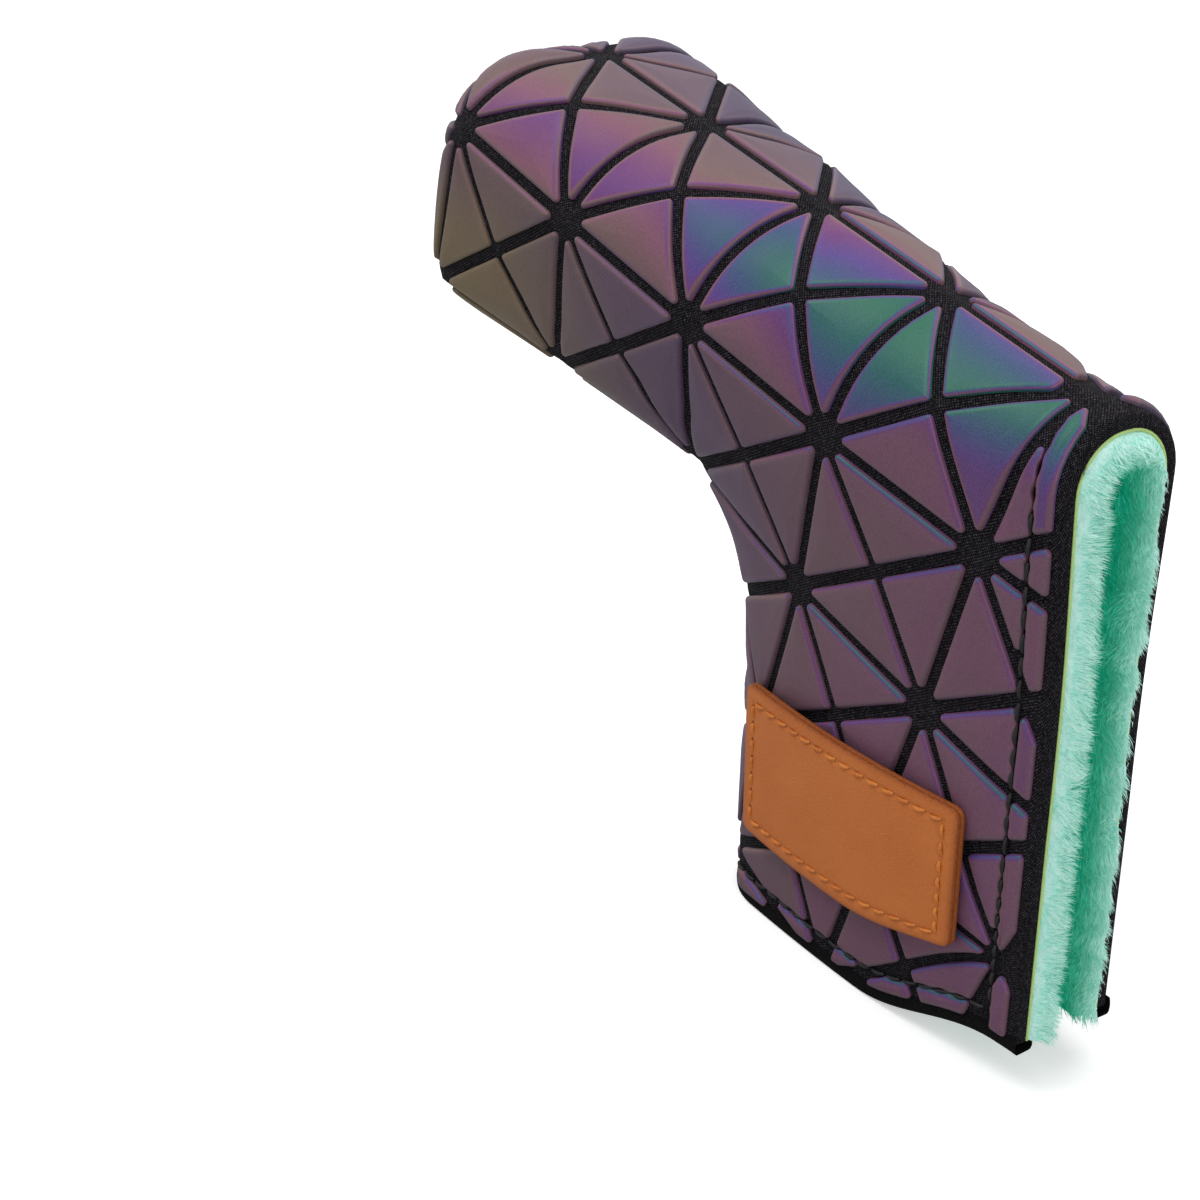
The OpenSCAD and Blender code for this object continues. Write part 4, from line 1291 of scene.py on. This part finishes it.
def build_topstitch(side):
    """The black topstitch that draws the tiles in along the lip and along the neck end."""
    thread = Pieces()
    chance = np.random.default_rng(60 + side)
    q = np.arange(20.0, 175.0, STITCH_PITCH)
    normal, limit = lip_line(side, STITCH_IN)
    runs = []
    for q0 in q:
        a = np.array([limit + LIP_SLOPE * q0, q0])
        b = a + np.array([LIP_SLOPE, 1.0]) * STITCH_LEN
        runs.append((a, b))
    foot_n, foot_c = foot_line(1, STITCH_UP)
    for p0 in np.arange(-60.0, 22.0, STITCH_PITCH):
        p1 = p0 + STITCH_LEN
        a = np.array([p0, foot_c - foot_n[0] * p0])
        b = np.array([p1, foot_c - foot_n[0] * p1])
        runs.append((a, b))
    for a, b in runs:
        ends = shell_at(np.array([a[0], b[0]]), np.array([a[1], b[1]]), np.array([0.5, 0.5]))
        if ends[:, 2].min() < STITCH_UP - 1 or ends[:, 0].min() < FOLD_X - 6 or \
                ends[:, 0].max() > LIP_X - LIP_MARGIN - STITCH_IN + 1.6:
            continue
        out = out_of(boot_at, np.array([a[0]]), np.array([a[1]]))[0]
        add_stitch(thread, mirrored(ends[0], side), mirrored(ends[1], side), mirrored(out, side), 0.34,
                   0.3, chance.uniform(0.2, 0.8))
    return thread


# =============================== build the pieces; the hem, toe, seams, spine and label go on their bodies ===

BEND_FROM, BEND_TO = (0, 0, 0.075), (0, 0, 0.035)

strand_count = 26000


def bend_on(flap, group, piece, material, slot, *nodes):
    """A piece that runs from the pouch down onto a flap: it is built in place, and the part's own pieces
    that it stands for are hidden.
    """
    obj = group.build(piece, material)
    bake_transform(obj)
    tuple(BEND_FROM)
    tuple(BEND_TO)
    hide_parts(*nodes)
    return obj


for side, name in ((1, "near"), (-1, "far")):
    flap = name + "_flap"
    skin = bend_on(flap, build_skin(side), name + "_skin", WOVEN, "woven",
                   "pouch_skin", "pouch_foam", flap + "_skin", flap + "_foam")
    tiles = ["tiles_near", "tiles_near_flap"] if side > 0 else ["tiles_far", "tiles_far_flap", "tiles_sole"]
    bend_on(flap, build_tiles(side, False), name + "_tiles", FILM, "tile", *tiles)
    bend_on(flap, build_binding(side), name + "_binding", WOVEN, "woven",
            name + "_lip_binding", "shoulder_binding")
    bend_on(flap, build_piping(side), name + "_piping", PIPING, "piping",
            name + "_lip_piping", "shoulder_piping")
    bend_on(flap, build_topstitch(side), name + "_stitches", BLACK_THREAD, "black_thread",
            name + "_topstitch")
    lining = build_lining(side)
    body = bend_on(flap, lining, name + "_lining", FLEECE, "fleece", "pouch_fleece", flap + "_fleece")
    bend_on(flap, build_strands(lining, side, strand_count), name + "_pile", STRANDS, "fleece")
    hem = build_hem(side).build(name + "_hem_tape", TAPE)
    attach(hem, flap)
    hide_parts(name + "_hem")

toe_patch = build_toe_skin()
toe_skin = toe_patch.build("toe_cap", WOVEN)
toe_tiles = build_tiles(1, True)
other = build_tiles(-1, True)
toe_tiles.add(np.concatenate(other.verts), other.faces,
              **{k: np.concatenate(v) for k, v in other.numbers.items()})
toe_film = toe_tiles.build("toe_tiles", FILM)
seam = build_seam().build("pouch_seam", TAPE)
toe_seam = build_toe_seam(toe_patch).build("toe_seam", TAPE)
spine = build_spine().build("fold_spine", TAPE)
for obj, slot, nodes in ((toe_skin, "woven", ("toe_skin", "toe_foam", "toe_fleece")),
                         (toe_film, "tile", ("tiles_toe",)), (seam, "woven", ("underside_seam",)),
                         (toe_seam, "woven", ()), (spine, "woven", ("neck_spine",))):
    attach(obj, "pouch")
    if nodes:
        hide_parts(*nodes)

label = build_label().build("leather_label", LEATHER)
label_thread = build_label_thread().build("label_stitches", TAN_THREAD)
for obj, slot, node in ((label, "label_leather", "label"), (label_thread, "tan_thread", "label_thread")):
    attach(obj, "near_flap")
    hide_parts(node)

for name in ("near_magnet", "far_magnet"):
    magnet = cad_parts[name]
    magnet.data.materials.clear()
    magnet.data.materials.append(NICKEL)


# =============================== floor, light and camera ===============================

def build_floor():
    material, tree, shader = new_material("pale_floor", Roughness=0.9, Specular_IOR_Level=0.1)
    place = add(tree, "ShaderNodeTexCoord").outputs["Object"]
    clouds = add(tree, "ShaderNodeTexNoise", {"Vector": place, "Scale": 3.0})
    tree.links.new(mix(tree, clouds.outputs["Fac"], srgb(238, 238, 238), srgb(242, 242, 242)),
                   shader.inputs["Base Color"])
    shader.inputs["Emission Color"].default_value = (1, 1, 1, 1)
    shader.inputs["Emission Strength"].default_value = 0.45
    plain = add(tree, "ShaderNodeBsdfDiffuse", {"Color": srgb(196, 196, 196)})
    seen = add(tree, "ShaderNodeLightPath").outputs["Is Camera Ray"]
    both = add(tree, "ShaderNodeMixShader", {0: seen, 1: plain.outputs[0], 2: shader.outputs[0]})
    out = next(n for n in tree.nodes if n.type == "OUTPUT_MATERIAL")
    tree.links.new(both.outputs[0], out.inputs["Surface"])
    half = 4000
    floor = make("floor", [(-half, -half, -0.05), (half, -half, -0.05), (half, half, -0.05),
                           (-half, half, -0.05)], [(0, 1, 2, 3)], material, smooth=False)


def area_light(name, place, aim, size, power, colour=(1, 1, 1)):
    data = bpy.data.lights.new(name, "AREA")
    data.shape, data.size, data.size_y = "RECTANGLE", size[0], size[1]
    data.energy, data.color = power, colour
    obj = bpy.data.objects.new(name, data)
    bpy.context.scene.collection.objects.link(obj)
    obj.location = place
    obj.rotation_mode = "QUATERNION"
    obj.rotation_quaternion = (Vector(aim) - Vector(place)).to_track_quat("-Z", "Y")


def build_world():
    world = bpy.data.worlds.new("studio")
    bpy.context.scene.world = world
    world.use_nodes = True
    tree = world.node_tree
    tree.nodes.clear()
    path = add(tree, "ShaderNodeLightPath")
    seen = math_node(tree, "MAXIMUM", path.outputs["Is Camera Ray"],
                     math_node(tree, "MAXIMUM", path.outputs["Is Glossy Ray"],
                               path.outputs["Is Transmission Ray"]))
    way = add(tree, "ShaderNodeTexCoord").outputs["Generated"]
    height = add(tree, "ShaderNodeSeparateXYZ", {0: way}).outputs[2]
    light = ramp(tree, add(tree, "ShaderNodeMapRange",
                           {"Value": height, "From Min": -0.1, "From Max": 1.0}).outputs["Result"],
                 [(0.0, (0.34, 0.34, 0.36, 1)), (0.5, (0.52, 0.52, 0.53, 1)), (1.0, (0.95, 0.94, 0.94, 1))])
    soft = add(tree, "ShaderNodeBackground", {"Color": light, "Strength": 0.7})
    white = add(tree, "ShaderNodeBackground", {"Color": (1, 1, 1, 1), "Strength": 1.0})
    both = add(tree, "ShaderNodeMixShader", {0: seen, 1: soft.outputs[0], 2: white.outputs[0]})
    out = add(tree, "ShaderNodeOutputWorld")
    tree.links.new(both.outputs[0], out.inputs["Surface"])


def build_camera():
    """Set by turn, rise, distance and lens, from the object's own frame."""
    turn, rise, away = math.radians(56.45), math.radians(24.7), 0.3962
    target = Vector((-0.0538, -0.0005, 0.0315))
    way = Vector((math.sin(turn) * math.cos(rise), -math.cos(turn) * math.cos(rise), math.sin(rise)))
    data = bpy.data.cameras.new("camera")
    data.sensor_width, data.lens = 36.0, 62.7
    data.clip_start, data.clip_end = 0.01, 50
    camera = bpy.data.objects.new("camera", data)
    bpy.context.scene.collection.objects.link(camera)
    camera.location = target + way * away
    camera.rotation_mode = "QUATERNION"
    camera.rotation_quaternion = (-way).to_track_quat("-Z", "Y")
    bpy.context.scene.camera = camera


build_floor()
build_world()
area_light("key", (-0.30, -0.45, 1.00), (0.0, 0.0, 0.09), (0.60, 0.45), 5.0)
area_light("top", (0.05, 0.30, 1.00), (0.0, 0.0, 0.08), (0.80, 0.60), 3.4)
area_light("fill", (0.95, -0.35, 0.40), (0.0, 0.0, 0.06), (0.60, 0.60), 2.6)
build_camera()
bpy.context.scene.view_settings.view_transform = "Standard"
